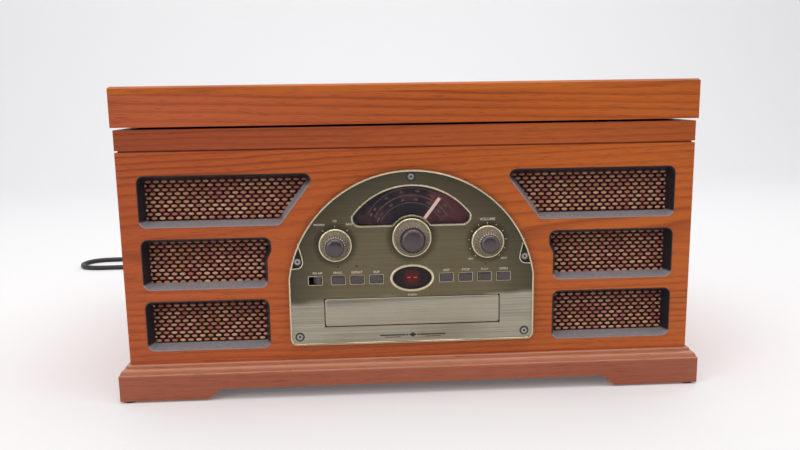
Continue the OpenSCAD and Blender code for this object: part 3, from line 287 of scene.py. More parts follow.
def brick(low, high, bevel=0.4):
    """A block between two corners with every edge and corner bevelled."""
    low, high = Vector(low), Vector(high)
    b = min(bevel, min(high - low) * 0.45)
    points, index = [], {}
    for corner_key in [(x, y, z) for x in (0, 1) for y in (0, 1) for z in (0, 1)]:
        for along in range(3):
            p = [(high if corner_key[i] else low)[i] for i in range(3)]
            for i in range(3):
                if i != along:
                    p[i] += -b if corner_key[i] else b
            index[corner_key, along] = len(points)
            points.append(tuple(p))
    faces = []
    for along in range(3):
        u, v = [i for i in range(3) if i != along]
        for end in (0, 1):
            ring = []
            for a, c in ((0, 0), (1, 0), (1, 1), (0, 1)):
                key = [0, 0, 0]
                key[along], key[u], key[v] = end, a, c
                ring.append(index[tuple(key), along])
            faces.append(ring)
        for a in (0, 1):
            for c in (0, 1):
                ends = []
                for end in (0, 1):
                    key = [0, 0, 0]
                    key[along], key[u], key[v] = end, a, c
                    ends.append(tuple(key))
                faces.append([index[ends[0], u], index[ends[1], u], index[ends[1], v], index[ends[0], v]])
    faces += [[index[key, along] for along in range(3)] for key in sorted({key for key, _ in index})]
    return points, faces


def new_moulding_grain():
    """Shader group: fine spark-eroded grain and cloudy gloss of moulded plastic."""
    tree = bpy.data.node_groups.new("moulding_grain", "ShaderNodeTree")
    tree.interface.new_socket("Vector", in_out="INPUT", socket_type="NodeSocketVector")
    scale_in = tree.interface.new_socket("Grain Scale", in_out="INPUT", socket_type="NodeSocketFloat")
    scale_in.default_value = 900
    tree.interface.new_socket("Clouds", in_out="OUTPUT", socket_type="NodeSocketFloat")
    tree.interface.new_socket("Height", in_out="OUTPUT", socket_type="NodeSocketFloat")
    start, end = tree.nodes.new("NodeGroupInput"), tree.nodes.new("NodeGroupOutput")
    clouds, fine = tree.nodes.new("ShaderNodeTexNoise"), tree.nodes.new("ShaderNodeTexNoise")
    clouds.inputs["Scale"].default_value = 22
    fine.inputs["Detail"].default_value = 3
    for source, target in (
        (start.outputs["Vector"], clouds.inputs["Vector"]), (start.outputs["Vector"], fine.inputs["Vector"]),
        (start.outputs["Grain Scale"], fine.inputs["Scale"]),
        (clouds.outputs["Fac"], end.inputs["Clouds"]), (fine.outputs["Fac"], end.inputs["Height"]),
    ):
        tree.links.new(source, target)
    return tree


moulding_grain = new_moulding_grain()


def moulded(name, code, gloss=0.45, grain=900, depth=0.00004, specular=0.5):
    """Moulded plastic or rubber in one colour, slightly uneven in shade and gloss."""
    s = Finish(name, specular_ior_level=specular)
    marks = s.group(moulding_grain, Vector=s.place(), Grain_Scale=grain)
    base = tone(code)
    dull, fresh = (tuple(c * share for c in base) for share in (0.8, 1.25))
    s.feed("Base Color", s.blend(marks["Clouds"], dull, fresh))
    s.feed("Roughness", s.between(marks["Clouds"], 0.3, 0.7, gloss - 0.07, gloss + 0.07))
    s.relief(marks["Height"], depth)
    return s.material


def dress(name, material):
    """Gives a CAD node its finish."""
    data = nodes[name].data
    data.materials.clear()
    data.materials.append(material)


CORD_D = 6.5
REST = CORD_D / 2 + 0.05
# Points of the lead in the order in which it is laid, in metres
LEAD_ROUTE = [
    (-0.150, 0.2065, 0.050), (-0.150, 0.217, 0.049), (-0.152, 0.229, 0.043), (-0.157, 0.241, 0.032),
    (-0.164, 0.253, 0.020), (-0.174, 0.265, 0.009), (-0.188, 0.277, 0.0033), (-0.210, 0.291, 0.0033),
    (-0.245, 0.306, 0.0033), (-0.290, 0.320, 0.0033), (-0.340, 0.328, 0.0033), (-0.385, 0.330, 0.0033),
    (-0.423, 0.330, 0.0033), (-0.442, 0.338, 0.0033), (-0.450, 0.357, 0.0033), (-0.442, 0.376, 0.0033),
    (-0.423, 0.384, 0.0033), (-0.385, 0.385, 0.0033), (-0.335, 0.384, 0.0033), (-0.280, 0.380, 0.0033),
    (-0.225, 0.372, 0.0033), (-0.172, 0.360, 0.0033), (-0.125, 0.342, 0.0033), (-0.092, 0.318, 0.0033),
    (-0.076, 0.298, 0.0033), (-0.0725, 0.2863, 0.0033),
]


def smoothed(route, steps):
    """Points in millimetres on a smooth curve through a route, none lower than the lead lies."""
    line = []
    for i in range(len(route) - 1):
        a, b, c, d = (Vector(route[min(max(j, 0), len(route) - 1)]) for j in (i - 1, i, i + 1, i + 2))
        for step in range(steps):
            t = step / steps
            p = (2 * b + (c - a) * t + (2 * a - 5 * b + 4 * c - d) * t * t
                 + (3 * b - a - 3 * c + d) * t ** 3) / 2
            p.z = max(p.z, REST)
            line.append(p)
    return line + [Vector(route[-1])]


coil_mid = middle("cord_coil")
coil_r = 36
# Radius and layer of each turn: three lie side by side, and the rest on top of them
coil_turns = [(coil_r + CORD_D, 0), (coil_r, 0), (coil_r - CORD_D, 0), (coil_r - CORD_D / 2, 1),
              (coil_r + CORD_D / 2, 1)]
coil_line = []
turn_steps, last_steps = 40, 18
for turn, (r, layer) in enumerate(coil_turns):
    next_r, next_layer = coil_turns[min(turn + 1, len(coil_turns) - 1)]
    for step in range(turn_steps):
        if turn == len(coil_turns) - 1 and step > last_steps:
            break
        # The lead moves over to the next turn's radius and layer in the last third of each turn
        move = min(max((step / turn_steps - 0.7) / 0.3, 0), 1)
        move = move * move * (3 - 2 * move)
        a = math.pi + 2 * math.pi * step / turn_steps
        here = r + (next_r - r) * move
        z = REST + 0.9 * CORD_D * (layer + (next_layer - layer) * move)
        coil_line.append(Vector((coil_mid.x + here * math.cos(a), coil_mid.y + here * math.sin(a), z)))
plug_low, plug_high = corner("power_plug"), corner("power_plug", True)
plug_x = middle("power_plug").x
lead_line = smoothed([Vector(p) * 1000 for p in LEAD_ROUTE], 4)
lead_line += [Vector((coil_mid.x - coil_r - CORD_D, coil_mid.y + 12, REST))] + coil_line
lead_line += smoothed([
    coil_line[-1], (plug_x + 0.5, coil_mid.y + 4, REST + 0.85 * CORD_D), (plug_x, coil_mid.y + 14, 8.2),
    (plug_x, plug_low.y + 3, 6.6), (plug_x, plug_low.y + 10, 6.5),
], 4)[1:]
vinyl = moulded("cord_vinyl", "222124", 0.42, 500, 0.00003)
lead = piece("mains_lead", vinyl, tube(lead_line, CORD_D / 2))
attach(lead, "root")
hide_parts("power_cord", "cord_coil")

# Moulded plug: a neck with ribs, a body with hollowed grips and two flat brass blades
body_y = plug_low.y + 14
plug_body = piece(
    "plug_body", vinyl,
    brick((plug_x - 11, body_y, 0.05), (plug_x + 11, body_y + 24, 13), 2.6),
    *[brick((plug_x - 8, body_y + 4 + 4 * i, 12.4), (plug_x + 8, body_y + 6 + 4 * i, 12.9), 0.25)
      for i in range(4)],
    tube([(plug_x, plug_low.y, 6.5), (plug_x, body_y + 2, 6.5)], [4.2, 5.8], 20),
    *[tube([(plug_x, plug_low.y + 2 + 3 * i, 6.5), (plug_x, plug_low.y + 3.4 + 3 * i, 6.5)],
           5.4 + 0.2 * i, 20) for i in range(4)],
)
blade_brass = Finish("blade_brass", metallic=1.0, base_color=tone("c8ab6a"))
blade_marks = blade_brass.noise(blade_brass.place((40, 900, 900)), 1)
blade_brass.feed("Roughness", blade_brass.between(blade_marks, 0.3, 0.7, 0.2, 0.4))
blades = piece(
    "plug_blades", blade_brass.material,
    *[brick((plug_x + s * 6.35 - 0.75, body_y + 22, 3.3), (plug_x + s * 6.35 + 0.75, plug_high.y, 9.7), 0.4)
      for s in (-1, 1)],
)
# Tie of soft twisted wire round the coil's far side
tie_a = math.radians(-75)
tie_at = coil_mid + Vector((coil_r * math.cos(tie_a), coil_r * math.sin(tie_a), 0))
tie = piece(
    "coil_tie", moulded("tie_plastic", "2b2c2e", 0.5, 700),
    tube([
        Vector((tie_at.x, tie_at.y, 6.75))
        + Vector((10.4 * math.cos(tie_a) * math.cos(b), 10.4 * math.sin(tie_a) * math.cos(b),
                  6.1 * math.sin(b)))
        for b in [2 * math.pi * i / 32 for i in range(32)]
    ], 0.6, 8, closed=True),
)
# Ribs that let the grommet bend
relief_at = Vector((LEAD_ROUTE[0][0] * 1000, corner("back_panel", True).y, LEAD_ROUTE[0][2] * 1000))
ribs = piece(
    "grommet_ribs", vinyl,
    *[tube([relief_at + Vector((0, 5 + 3 * i, 0)), relief_at + Vector((0, 6.4 + 3 * i, 0))],
           6.3 - 0.26 * i, 24) for i in range(8)],
)
for lead_piece, slot in ((plug_body, "cord_vinyl"), (blades, "brass_fittings"), (tie, "cord_vinyl"),
                         (ribs, "cord_vinyl")):
    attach(lead_piece, "root")
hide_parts("power_plug")
dress("strain_relief", vinyl)


# ---- Cabinet wood --------------------------------------------------------------------------------------
# Veneered boards in a reddish brown stain under satin lacquer: plain-sawn grain that runs along the front,
# with arched figure where a board crosses the log's rings, fine fibres and short dark pores.
def new_wood_grain():
    """Shader group: growth rings of a log that lies along X, its fibres and its pores."""
    tree = bpy.data.node_groups.new("wood_grain", "ShaderNodeTree")
    for name, kind in (("Vector", "Vector"), ("Light", "Color"), ("Dark", "Color"),
                       ("Ring Width", "Float"), ("Wander", "Float"), ("Line", "Float")):
        tree.interface.new_socket(name, in_out="INPUT", socket_type="NodeSocket" + kind)
    for name, kind in (("Color", "Color"), ("Height", "Float"), ("Clouds", "Float")):
        tree.interface.new_socket(name, in_out="OUTPUT", socket_type="NodeSocket" + kind)
    start, end = tree.nodes.new("NodeGroupInput"), tree.nodes.new("NodeGroupOutput")

    def add(kind, *inputs, settings=None, out=0, **named):
        made = tree.nodes.new(kind)
        for key, value in (settings or {}).items():
            setattr(made, key, value)
        pairs = [(made.inputs[i], v) for i, v in enumerate(inputs)]
        pairs += [(made.inputs[k.replace("_", " ")], v) for k, v in named.items()]
        for socket, value in pairs:
            if isinstance(value, bpy.types.NodeSocket):
                tree.links.new(value, socket)
            else:
                socket.default_value = value
        return made.outputs[out]

    def maths(what, a, b=0.0):
        return add("ShaderNodeMath", a, b, settings={"operation": what})

    def stretched(scale, detail, rough=0.5):
        where = add("ShaderNodeMapping", Vector=start.outputs["Vector"], Scale=scale)
        return add("ShaderNodeTexNoise", Vector=where, Scale=1, Detail=detail, Roughness=rough)

    def blend(share, a, b, how="MIX"):
        made = tree.nodes.new("ShaderNodeMix")
        made.data_type, made.blend_type = "RGBA", how
        for i, value in ((0, share), (6, a), (7, b)):
            if isinstance(value, bpy.types.NodeSocket):
                tree.links.new(value, made.inputs[i])
            else:
                made.inputs[i].default_value = value
        return made.outputs[2]

    flat = add("ShaderNodeVectorMath", start.outputs["Vector"], (0, 1, 1), settings={"operation": "MULTIPLY"})
    radius = add("ShaderNodeVectorMath", flat, settings={"operation": "LENGTH"}, out="Value")
    wander = maths("MULTIPLY", maths("SUBTRACT", stretched((3.5, 22, 22), 3), 0.5), start.outputs["Wander"])
    small = maths("MULTIPLY", maths("SUBTRACT", stretched((14, 160, 160), 2), 0.5), 0.0022)
    rings = maths("DIVIDE", maths("ADD", maths("ADD", radius, wander), small), start.outputs["Ring Width"])
    share = maths("FRACT", rings)
    late = tree.nodes.new("ShaderNodeValToRGB")
    stops = ((0.0, 0.25), (0.12, 0.0), (0.55, 0.18), (0.84, 1.0), (0.93, 0.8), (1.0, 0.25))
    while len(late.color_ramp.elements) < len(stops):
        late.color_ramp.elements.new(0.5)
    for element, (at, value) in zip(late.color_ramp.elements, stops):
        element.position = at
        element.color = (value, value, value, 1)
    tree.links.new(share, late.inputs["Fac"])
    uneven = add("ShaderNodeMapRange", Value=stretched((2, 30, 30), 2), From_Min=0.35, From_Max=0.65,
                 To_Min=0.35, To_Max=1.0)
    line = maths("MULTIPLY", maths("MULTIPLY", late.outputs["Color"], uneven), start.outputs["Line"])
    fibre = add("ShaderNodeMapRange", Value=stretched((9, 520, 520), 3, 0.7), From_Min=0.3, From_Max=0.7)
    pores = add("ShaderNodeMapRange", Value=stretched((60, 1500, 1500), 1), From_Min=0.6, From_Max=0.68)
    clouds = stretched((3, 9, 9), 2)
    shade = blend(line, start.outputs["Light"], start.outputs["Dark"])
    fibred = blend(maths("MULTIPLY", fibre, 0.3), shade, (0.72, 0.66, 0.62, 1), "MULTIPLY")
    clouded = blend(
        0.55, fibred, blend(add("ShaderNodeMapRange", Value=clouds, From_Min=0.35, From_Max=0.65),
                            (0.8, 0.72, 0.66, 1), (1.0, 1.0, 1.0, 1)), "MULTIPLY")
    pored = blend(maths("MULTIPLY", pores, 0.35), clouded, (0.25, 0.14, 0.1, 1), "MULTIPLY")
    height = maths("SUBTRACT", maths("MULTIPLY", fibre, 0.35), maths("MULTIPLY", pores, 0.6))
    for source, target in ((pored, "Color"), (maths("ADD", height, 0.5), "Height"), (clouds, "Clouds")):
        tree.links.new(source, end.inputs[target])
    return tree


wood_grain = new_wood_grain()


def board(name, light, dark, heart, turn=(0, 0, 0), ring=0.0046, wander=0.012, line=0.85, left=None,
          gloss=0.4, coat=0.12, mitred=None):
    """A lacquered board; heart is where the log's middle lies, in metres, and turn tilts the log. In a
    mitred frame, named by its CAD node, the side boards' grain runs from front to back."""
    s = Finish(name, coat_weight=coat, coat_roughness=0.16, specular_ior_level=0.32)
    where = s.place(turn=turn, move=tuple(-c for c in heart))
    light, dark = tone(light), tone(dark)
    if mitred:
        half = (corner(mitred, True) - corner(mitred)) / 2000
        from_mid = s.place(move=tuple(-c / 1000 for c in middle(mitred)))
        past_x, past_y = (s.maths("SUBTRACT", s.maths("ABSOLUTE", s.axis(from_mid, letter)), reach)
                          for letter, reach in (("X", half.x), ("Y", half.y)))
        along_y = s.place(turn=(turn[0], turn[1], turn[2] + 90), move=(0.3, 0.1, -heart[2]))
        chosen = s.node("ShaderNodeMix", settings={"data_type": "VECTOR"})
        for i, value in ((0, s.maths("GREATER_THAN", past_x, past_y)), (4, where), (5, along_y)):
            s.put(chosen.inputs[i], value)
        where = chosen.outputs[1]
    if left:
        # The stain is redder towards one end of the board
        across = s.between(s.axis(s.place(), "X"), -0.24, 0.12)
        light = s.blend(across, tone(left), light)
    grain = s.group(wood_grain, Vector=where, Light=light, Dark=dark, Ring_Width=ring, Wander=wander,
                    Line=line)
    s.feed("Base Color", grain["Color"])
    s.feed("Roughness", s.between(grain["Clouds"], 0.3, 0.7, gloss - 0.06, gloss + 0.08))
    s.relief(grain["Height"], 0.00006)
    return s.material


body_high = corner("front_baffle", True)
front_wood = board("front_wood", "d26a20", "903c10", (0.05, FRONT / 1000 + 0.030, 0.128), (0, 1.2, 2.2),
                   ring=0.0052, line=0.7, left="c85f28")
side_wood = board("side_wood", "cc6626", "8e3d14", (0, 0.0, 0.118), (1.6, 0, 88), ring=0.006)
base_wood = board("base_wood", "b86545", "90452b", (0, FRONT / 1000 - 0.03, -0.03), (0, 0.4, 0.8), ring=0.005,
                  wander=0.006, line=0.45, gloss=0.34, coat=0.35, mitred="plinth")
edge_wood = board("moulding_wood", "d08866", "a26044", (0, FRONT / 1000 - 0.03, -0.03), (0, 0.3, 0.5),
                  ring=0.005, wander=0.005, line=0.35, gloss=0.3, coat=0.4, mitred="base_moulding")
lid_front_wood = board("lid_edge_wood", "d16920", "8e3b10", (-0.02, FRONT / 1000 + 0.04, 0.30),
                       (0, -0.8, 1.2), ring=0.0056, left="c86238", mitred="lid_frame")
lid_top_wood = board("lid_top_wood", "d37028", "934214", (-0.03, 0.02, 0.20), (0, 2.6, 0.6), ring=0.007,
                     wander=0.016)
band_wood = board("band_wood", "c56222", "883a12", (0.03, FRONT / 1000 - 0.02, 0.16), (0, 0.7, 0.8),
                  ring=0.0048, left="b2522c", mitred="band_frame")
for name, material in (
    ("front_baffle", front_wood), ("side_panels", side_wood), ("plinth", base_wood),
    ("base_moulding", edge_wood), ("band_frame", band_wood), ("lid_frame", lid_front_wood),
    ("lid_top", lid_top_wood),
):
    dress(name, material)
dress("bottom_board", board("bottom_wood", "a5764e", "80532f", (0, 0, 0.10), (1, 0, 88), ring=0.008, line=0.5,
                            gloss=0.6, coat=0))


# ---- Rubber feet ---------------------------------------------------------------------------------------
# Four black rubber pads, one under each corner of the base. They are cut from sheet with a soft edge and
# glued on, and keep the wood off the table.
dress("rubber_feet", moulded("foot_rubber", "232324", 0.7, 1500, 0.00006, 0.3))


# ---- Grille openings -----------------------------------------------------------------------------------
# Three bevelled openings on each side of the panel. A black moulded liner covers each opening's bevelled
# wall, and its thin lip shows as a dark line round the opening.
def inset(outline, d):
    """The corners of an outline that runs anticlockwise, drawn in by d."""
    moved = []
    for i, p in enumerate(outline):
        before, after = outline[i - 1], outline[(i + 1) % len(outline)]
        a = (Vector(p) - Vector(before)).normalized()
        b = (Vector(after) - Vector(p)).normalized()
        na, nb = Vector((-a.y, a.x)), Vector((-b.y, b.x))
        share = d / (1 + na.dot(nb))
        moved.append(Vector(p) + share * (na + nb))
    return moved


def rounded(outline, r, steps=6):
    """An outline with its corners rounded; r is one radius, or one for each corner."""
    points = []
    for i, p in enumerate(outline):
        radius = r[i] if isinstance(r, (list, tuple)) else r
        p = Vector(p)
        a = (p - Vector(outline[i - 1])).normalized()
        b = (Vector(outline[(i + 1) % len(outline)]) - p).normalized()
        turn = a.angle_signed(b)
        reach = radius * math.tan(abs(turn) / 2)
        side = 1 if a.x * b.y - a.y * b.x > 0 else -1
        centre = p - reach * a + side * radius * Vector((-a.y, a.x))
        first = p - reach * a - centre
        for k in range(steps + 1):
            t = side * abs(turn) * k / steps
            points.append(centre + Matrix.Rotation(t, 2) @ first)
    return points


def lofted(rings, closed=False, capped=False):
    """A skin through rings of (x, y, z) that each hold as many points."""
    n = len(rings[0])
    points = [tuple(p) for ring in rings for p in ring]
    faces = []
    for i in range(len(rings) if closed else len(rings) - 1):
        j = (i + 1) % len(rings)
        faces += [(i * n + k, j * n + k, j * n + (k + 1) % n, i * n + (k + 1) % n) for k in range(n)]
    if capped:
        faces.append(tuple(range(n)))
        faces.append(tuple((len(rings) - 1) * n + k for k in reversed(range(n))))
    return points, faces


def mirrored(shape):
    points, faces = shape
    return [(-p[0], p[1], p[2]) for p in points], [tuple(reversed(face)) for face in faces]


board_t = corner("front_baffle", True).y - FRONT
bevel, opening_r = 3.3, 5.5
outer = body_high.x - 15.2
# Foot and head of the lowest opening above the front board's edge, and the step from one row to the next
opening_foot, opening_head, row_step = 10.8, 51.77, 50.92
board_foot = corner("front_baffle").z
heights = [(board_foot + opening_foot + i * row_step, board_foot + opening_head + i * row_step)
           for i in range(3)]
# Inner edges of the lowest opening and of the middle one above its step, from the middle of the board
low_in, mid_in = 116.8, 113.3
# The top openings lean: the line through their two inner corner rounds, drawn out by the corner radius
top_in, top_lean = 102.7, 22.8
lean = top_lean / (heights[0][1] - heights[0][0] - 2 * opening_r)
slant_low = top_in + opening_r * (1 + lean - math.hypot(1, lean))
slant_high = slant_low - lean * (heights[0][1] - heights[0][0])
openings = []
for i, (z0, z1) in enumerate(heights):
    if i == 0:
        openings.append(([(low_in, z0), (outer, z0), (outer, z1), (low_in, z1)], [opening_r] * 4))
    elif i == 1:
        step = (z0 + z1) / 2
        openings.append(([(low_in, z0), (outer, z0), (outer, z1), (mid_in, z1), (mid_in, step + 9.5),
                          (low_in, step + 2.5)], [opening_r] * 4 + [4.0, 4.0]))
    else:
        openings.append(([(slant_low, z0), (outer, z0), (outer, z1), (slant_high, z1)], [opening_r] * 4))


def liner(corners, radii):
    rings = []
    for d, y in ((0.45, -0.3), (0.5, 0.0), (bevel + 0.45, board_t - 0.15), (bevel - 0.3, board_t - 0.15),
                 (-0.35, 0.3), (-0.35, -0.12), (-0.2, -0.3)):
        ring = rounded(inset(corners, d), [max(r - d, 0.5) if i < 4 else r for i, r in enumerate(radii)])
        rings.append([(p.x, FRONT + y, p.y) for p in ring])
    return lofted(rings, closed=True)


liners = [liner(corners, radii) for corners, radii in openings]


def height_in_opening(s, where):
    """Height above the foot of the opening at this level, in metres."""
    above = s.maths("SUBTRACT", s.axis(where, "Z"), heights[0][0] / 1000)
    return s.maths("WRAP", above, (heights[1][0] - heights[0][0] - 4) / 1000, -0.004)


# The liner is nearly black, with a painted highlight that makes its lower ledges and the sloping one paler,
# as if lit from above; noise makes the painted highlight uneven
liner_plastic = Finish("liner_plastic", roughness=0.34, specular_ior_level=0.5)
liner_at = liner_plastic.place()
liner_up = height_in_opening(liner_plastic, liner_at)
liner_x = liner_plastic.maths("ABSOLUTE", liner_plastic.axis(liner_at, "X"))
painted_slope_highlight = liner_plastic.maths("MULTIPLY", liner_plastic.between(liner_x, 0.106, 0.102),
                              liner_plastic.between(liner_up, 0.036, 0.030))
painted_ledge_highlight = liner_plastic.maths("MAXIMUM", liner_plastic.between(liner_up, 0.0052, 0.0035), painted_slope_highlight)
highlight_noise = liner_plastic.between(liner_plastic.noise(liner_at, 300, 4), 0.2, 0.7, 0.75, 1)
liner_plastic.feed("Base Color", liner_plastic.blend(liner_plastic.maths("MULTIPLY", painted_ledge_highlight, highlight_noise),
                                                     tone("232027"), tone("a19a9e")))
liner_plastic.relief(liner_plastic.noise(liner_at, 1200, 2), 0.00002)
opening_liners = piece("opening_liners", liner_plastic.material, *liners,
                       *[mirrored(shape) for shape in liners], sharp=40)
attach(opening_liners, "root")

# Wooden fillets that round the lower inner corner of each middle opening
fillet_z, sunk = heights[1][0], 0.3
fillet_line = [(low_in - sunk, fillet_z - sunk), (low_in + opening_r, fillet_z - sunk)]
fillet_line += [(low_in + opening_r * (1 - math.sin(a)), fillet_z + opening_r * (1 - math.cos(a)))
                for a in [math.radians(15 * k) for k in range(7)]]
fillet_line.append((low_in - sunk, fillet_z + opening_r))
fillet = lofted([[(x, FRONT + y, z) for x, z in fillet_line] for y in (0.02, board_t - 0.5)], capped=True)
fillets = piece("opening_fillets", front_wood, fillet, mirrored(fillet))
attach(fillets, "root")


# ---- Grille cloth --------------------------------------------------------------------------------------
# A flat woven cloth glued to the back of the front board: rows of tan, pink and gold floats, each row set
# half a float along from the next, over a dark maroon ground.
def repeated(name, unit, spots, material, size=1.0, seed=1):
    """Copies of a unit set on spots of (place, turn), made one mesh by Geometry Nodes."""
    data = bpy.data.meshes.new(name)
    data.from_pydata([tuple(c / 1000 for c in place) for place, turn in spots], [], [])
    turns = data.attributes.new("turn", "FLOAT_VECTOR", "POINT")
    for i, (place, turn) in enumerate(spots):
        turns.data[i].vector = [math.radians(a) for a in turn]
    made = bpy.data.objects.new(name, data)
    bpy.context.collection.objects.link(made)
    tree = bpy.data.node_groups.new(name, "GeometryNodeTree")
    for label, kind in (("Geometry", "Geometry"), ("Unit", "Object"), ("Size", "Float"), ("Seed", "Int"),
                        ("Finish", "Material")):
        tree.interface.new_socket(label, in_out="INPUT", socket_type="NodeSocket" + kind)
    tree.interface.new_socket("Geometry", in_out="OUTPUT", socket_type="NodeSocketGeometry")
    start, end = tree.nodes.new("NodeGroupInput"), tree.nodes.new("NodeGroupOutput")
    unit_in = tree.nodes.new("GeometryNodeObjectInfo")
    turn_in = tree.nodes.new("GeometryNodeInputNamedAttribute")
    turn_in.data_type = "FLOAT_VECTOR"
    turn_in.inputs["Name"].default_value = "turn"
    to_turn = tree.nodes.new("FunctionNodeEulerToRotation")
    copies = tree.nodes.new("GeometryNodeInstanceOnPoints")
    chance = tree.nodes.new("FunctionNodeRandomValue")
    keep = tree.nodes.new("GeometryNodeStoreNamedAttribute")
    keep.data_type, keep.domain = "FLOAT", "INSTANCE"
    keep.inputs["Name"].default_value = "tone"
    real = tree.nodes.new("GeometryNodeRealizeInstances")
    coat = tree.nodes.new("GeometryNodeSetMaterial")
    for source, target in (
        (start.outputs["Unit"], unit_in.inputs["Object"]),
        (turn_in.outputs["Attribute"], to_turn.inputs[0]),
        (start.outputs["Geometry"], copies.inputs["Points"]),
        (unit_in.outputs["Geometry"], copies.inputs["Instance"]),
        (to_turn.outputs[0], copies.inputs["Rotation"]),
        (start.outputs["Size"], copies.inputs["Scale"]),
        (start.outputs["Seed"], chance.inputs["Seed"]),
        (copies.outputs[0], keep.inputs["Geometry"]),
        (chance.outputs[1], keep.inputs["Value"]),
        (keep.outputs[0], real.inputs[0]), (real.outputs[0], coat.inputs["Geometry"]),
        (start.outputs["Finish"], coat.inputs["Material"]), (coat.outputs[0], end.inputs[0]),
    ):
        tree.links.new(source, target)
    modifier = made.modifiers.new(name, "NODES")
    modifier.node_group = tree
    for label, value in (("Unit", unit), ("Size", size), ("Seed", seed), ("Finish", material)):
        socket = next(s for s in tree.interface.items_tree if s.name == label and s.in_out == "INPUT")
        modifier[socket.identifier] = value
    graph = bpy.context.evaluated_depsgraph_get()
    finished = bpy.data.meshes.new_from_object(made.evaluated_get(graph))
    made.modifiers.remove(modifier)
    made.data = finished
    bpy.data.objects.remove(unit)
    return made


cloth_y = corner("grille_cloths").y
pitch_x, pitch_z = 6.55, 3.3
float_a, float_b, float_h = 2.6, 1.25, 0.8


def woven_float():
    """One float of yarn: a low oval dome."""
    n = 10
    points = [(0, -float_h, 0)]
    for out, up in ((0.45, 0.88), (0.8, 0.5), (1.0, -0.1)):
        points += [(out * float_a * math.cos(a), -up * float_h, out * float_b * math.sin(a))
                   for a in [2 * math.pi * k / n for k in range(n)]]
    faces = [(0, 1 + k, 1 + (k + 1) % n) for k in range(n)]
    for start in (1, 1 + n):
        faces += [(start + k, start + n + k, start + n + (k + 1) % n, start + (k + 1) % n) for k in range(n)]
    faces.append(tuple(1 + 2 * n + k for k in reversed(range(n))))
    return points, faces


def in_reach(x, z):
    """Whether a float shows through one of the openings."""
    x = abs(x)
    return any(z0 - 1 < z < z1 + 1 and (low_in - 6 if i < 2 else top_in - 4 - top_lean * (z - z0) / (z1 - z0))
               < x < outer + 1 for i, (z0, z1) in enumerate(heights))


yarn = Finish("yarn_floats", roughness=0.75, specular_ior_level=0.25, sheen_weight=0.25)
yarn_tone = yarn.node("ShaderNodeAttribute", settings={"attribute_name": "tone"}).outputs["Fac"]
yarn_mix = yarn.node("ShaderNodeValToRGB", yarn_tone)
yarn_codes = ((0.0, "c9776a"), (0.35, "eeae90"), (0.6, "fdd3a6"), (0.8, "e2a673"), (1.0, "cb9a5e"))
for i, (at, code) in enumerate(yarn_codes):
    if i > 1:
        yarn_mix.color_ramp.elements.new(at)
    yarn_mix.color_ramp.elements[i].position = at
    yarn_mix.color_ramp.elements[i].color = (*tone(code), 1)
strands = yarn.noise(yarn.place((250, 2200, 2200)), 1, 2)
# The upper rows of cloth in each opening are painted darker, a painted shade under the opening's top edge
painted_shade_share = yarn.between(height_in_opening(yarn, yarn.place()), 0.012, 0.04, 0, 0.6)
shaded_yarn = yarn.blend(painted_shade_share, yarn_mix.outputs["Color"], tone("6b3c36"))
yarn.feed("Base Color", yarn.blend(yarn.between(strands, 0.3, 0.7, 0, 0.5), shaded_yarn, (0.09, 0.03, 0.025)))
yarn.relief(strands, 0.00015)
rows, half_columns = int((heights[2][1] - heights[0][0]) / pitch_z) + 2, 34
spots = []
for row in range(rows):
    z = heights[0][0] - 1 + row * pitch_z
    for column in range(-half_columns, half_columns + 1):
        x = column * pitch_x + (pitch_x / 2 if row % 2 else 0)
        if in_reach(x, z):
            spots.append(((x, cloth_y + 0.1, z), (0, 0, 0)))
cloth_floats = repeated("cloth_floats", piece("float_unit", yarn.material, woven_float(), sharp=60), spots,
                        yarn.material, seed=7)
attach(cloth_floats, "root")

ground = Finish("cloth_ground", roughness=0.85, specular_ior_level=0.2)
ground_at = ground.place()
warp = ground.node("ShaderNodeTexWave", Vector=ground_at, Scale=95, Distortion=0.6,
                   settings={"bands_direction": "Z"}).outputs["Fac"]
weft = ground.node("ShaderNodeTexWave", Vector=ground_at, Scale=48, Distortion=0.4).outputs["Fac"]
ground.feed("Base Color", ground.blend(ground.maths("MULTIPLY", warp, weft), tone("1a090a"), tone("5e231f")))
ground.relief(warp, 0.0002)
dress("grille_cloths", ground.material)


# ---- Loudspeakers --------------------------------------------------------------------------------------
# A pressed steel basket with a magnet is fixed behind each group of openings, and holds a pulp cone with a
# folded edge.
def new_brushed_metal():
    """Shader group: fine scratches along X, and slow cloudy tarnish."""
    tree = bpy.data.node_groups.new("brushed_metal", "ShaderNodeTree")
    tree.interface.new_socket("Vector", in_out="INPUT", socket_type="NodeSocketVector")
    for name in ("Scratches", "Tarnish"):
        tree.interface.new_socket(name, in_out="OUTPUT", socket_type="NodeSocketFloat")
    start, end = tree.nodes.new("NodeGroupInput"), tree.nodes.new("NodeGroupOutput")
    drawn = tree.nodes.new("ShaderNodeMapping")
    drawn.inputs["Scale"].default_value = (14, 2600, 2600)
    scratches, tarnish = tree.nodes.new("ShaderNodeTexNoise"), tree.nodes.new("ShaderNodeTexNoise")
    scratches.inputs["Scale"].default_value = 1
    scratches.inputs["Detail"].default_value = 3
    tarnish.inputs["Scale"].default_value = 18
    tarnish.inputs["Detail"].default_value = 4
    for source, target in (
        (start.outputs[0], drawn.inputs["Vector"]), (drawn.outputs[0], scratches.inputs["Vector"]),
        (start.outputs[0], tarnish.inputs["Vector"]), (scratches.outputs["Fac"], end.inputs["Scratches"]),
        (tarnish.outputs["Fac"], end.inputs["Tarnish"]),
    ):
        tree.links.new(source, target)
    return tree


brushed_metal = new_brushed_metal()


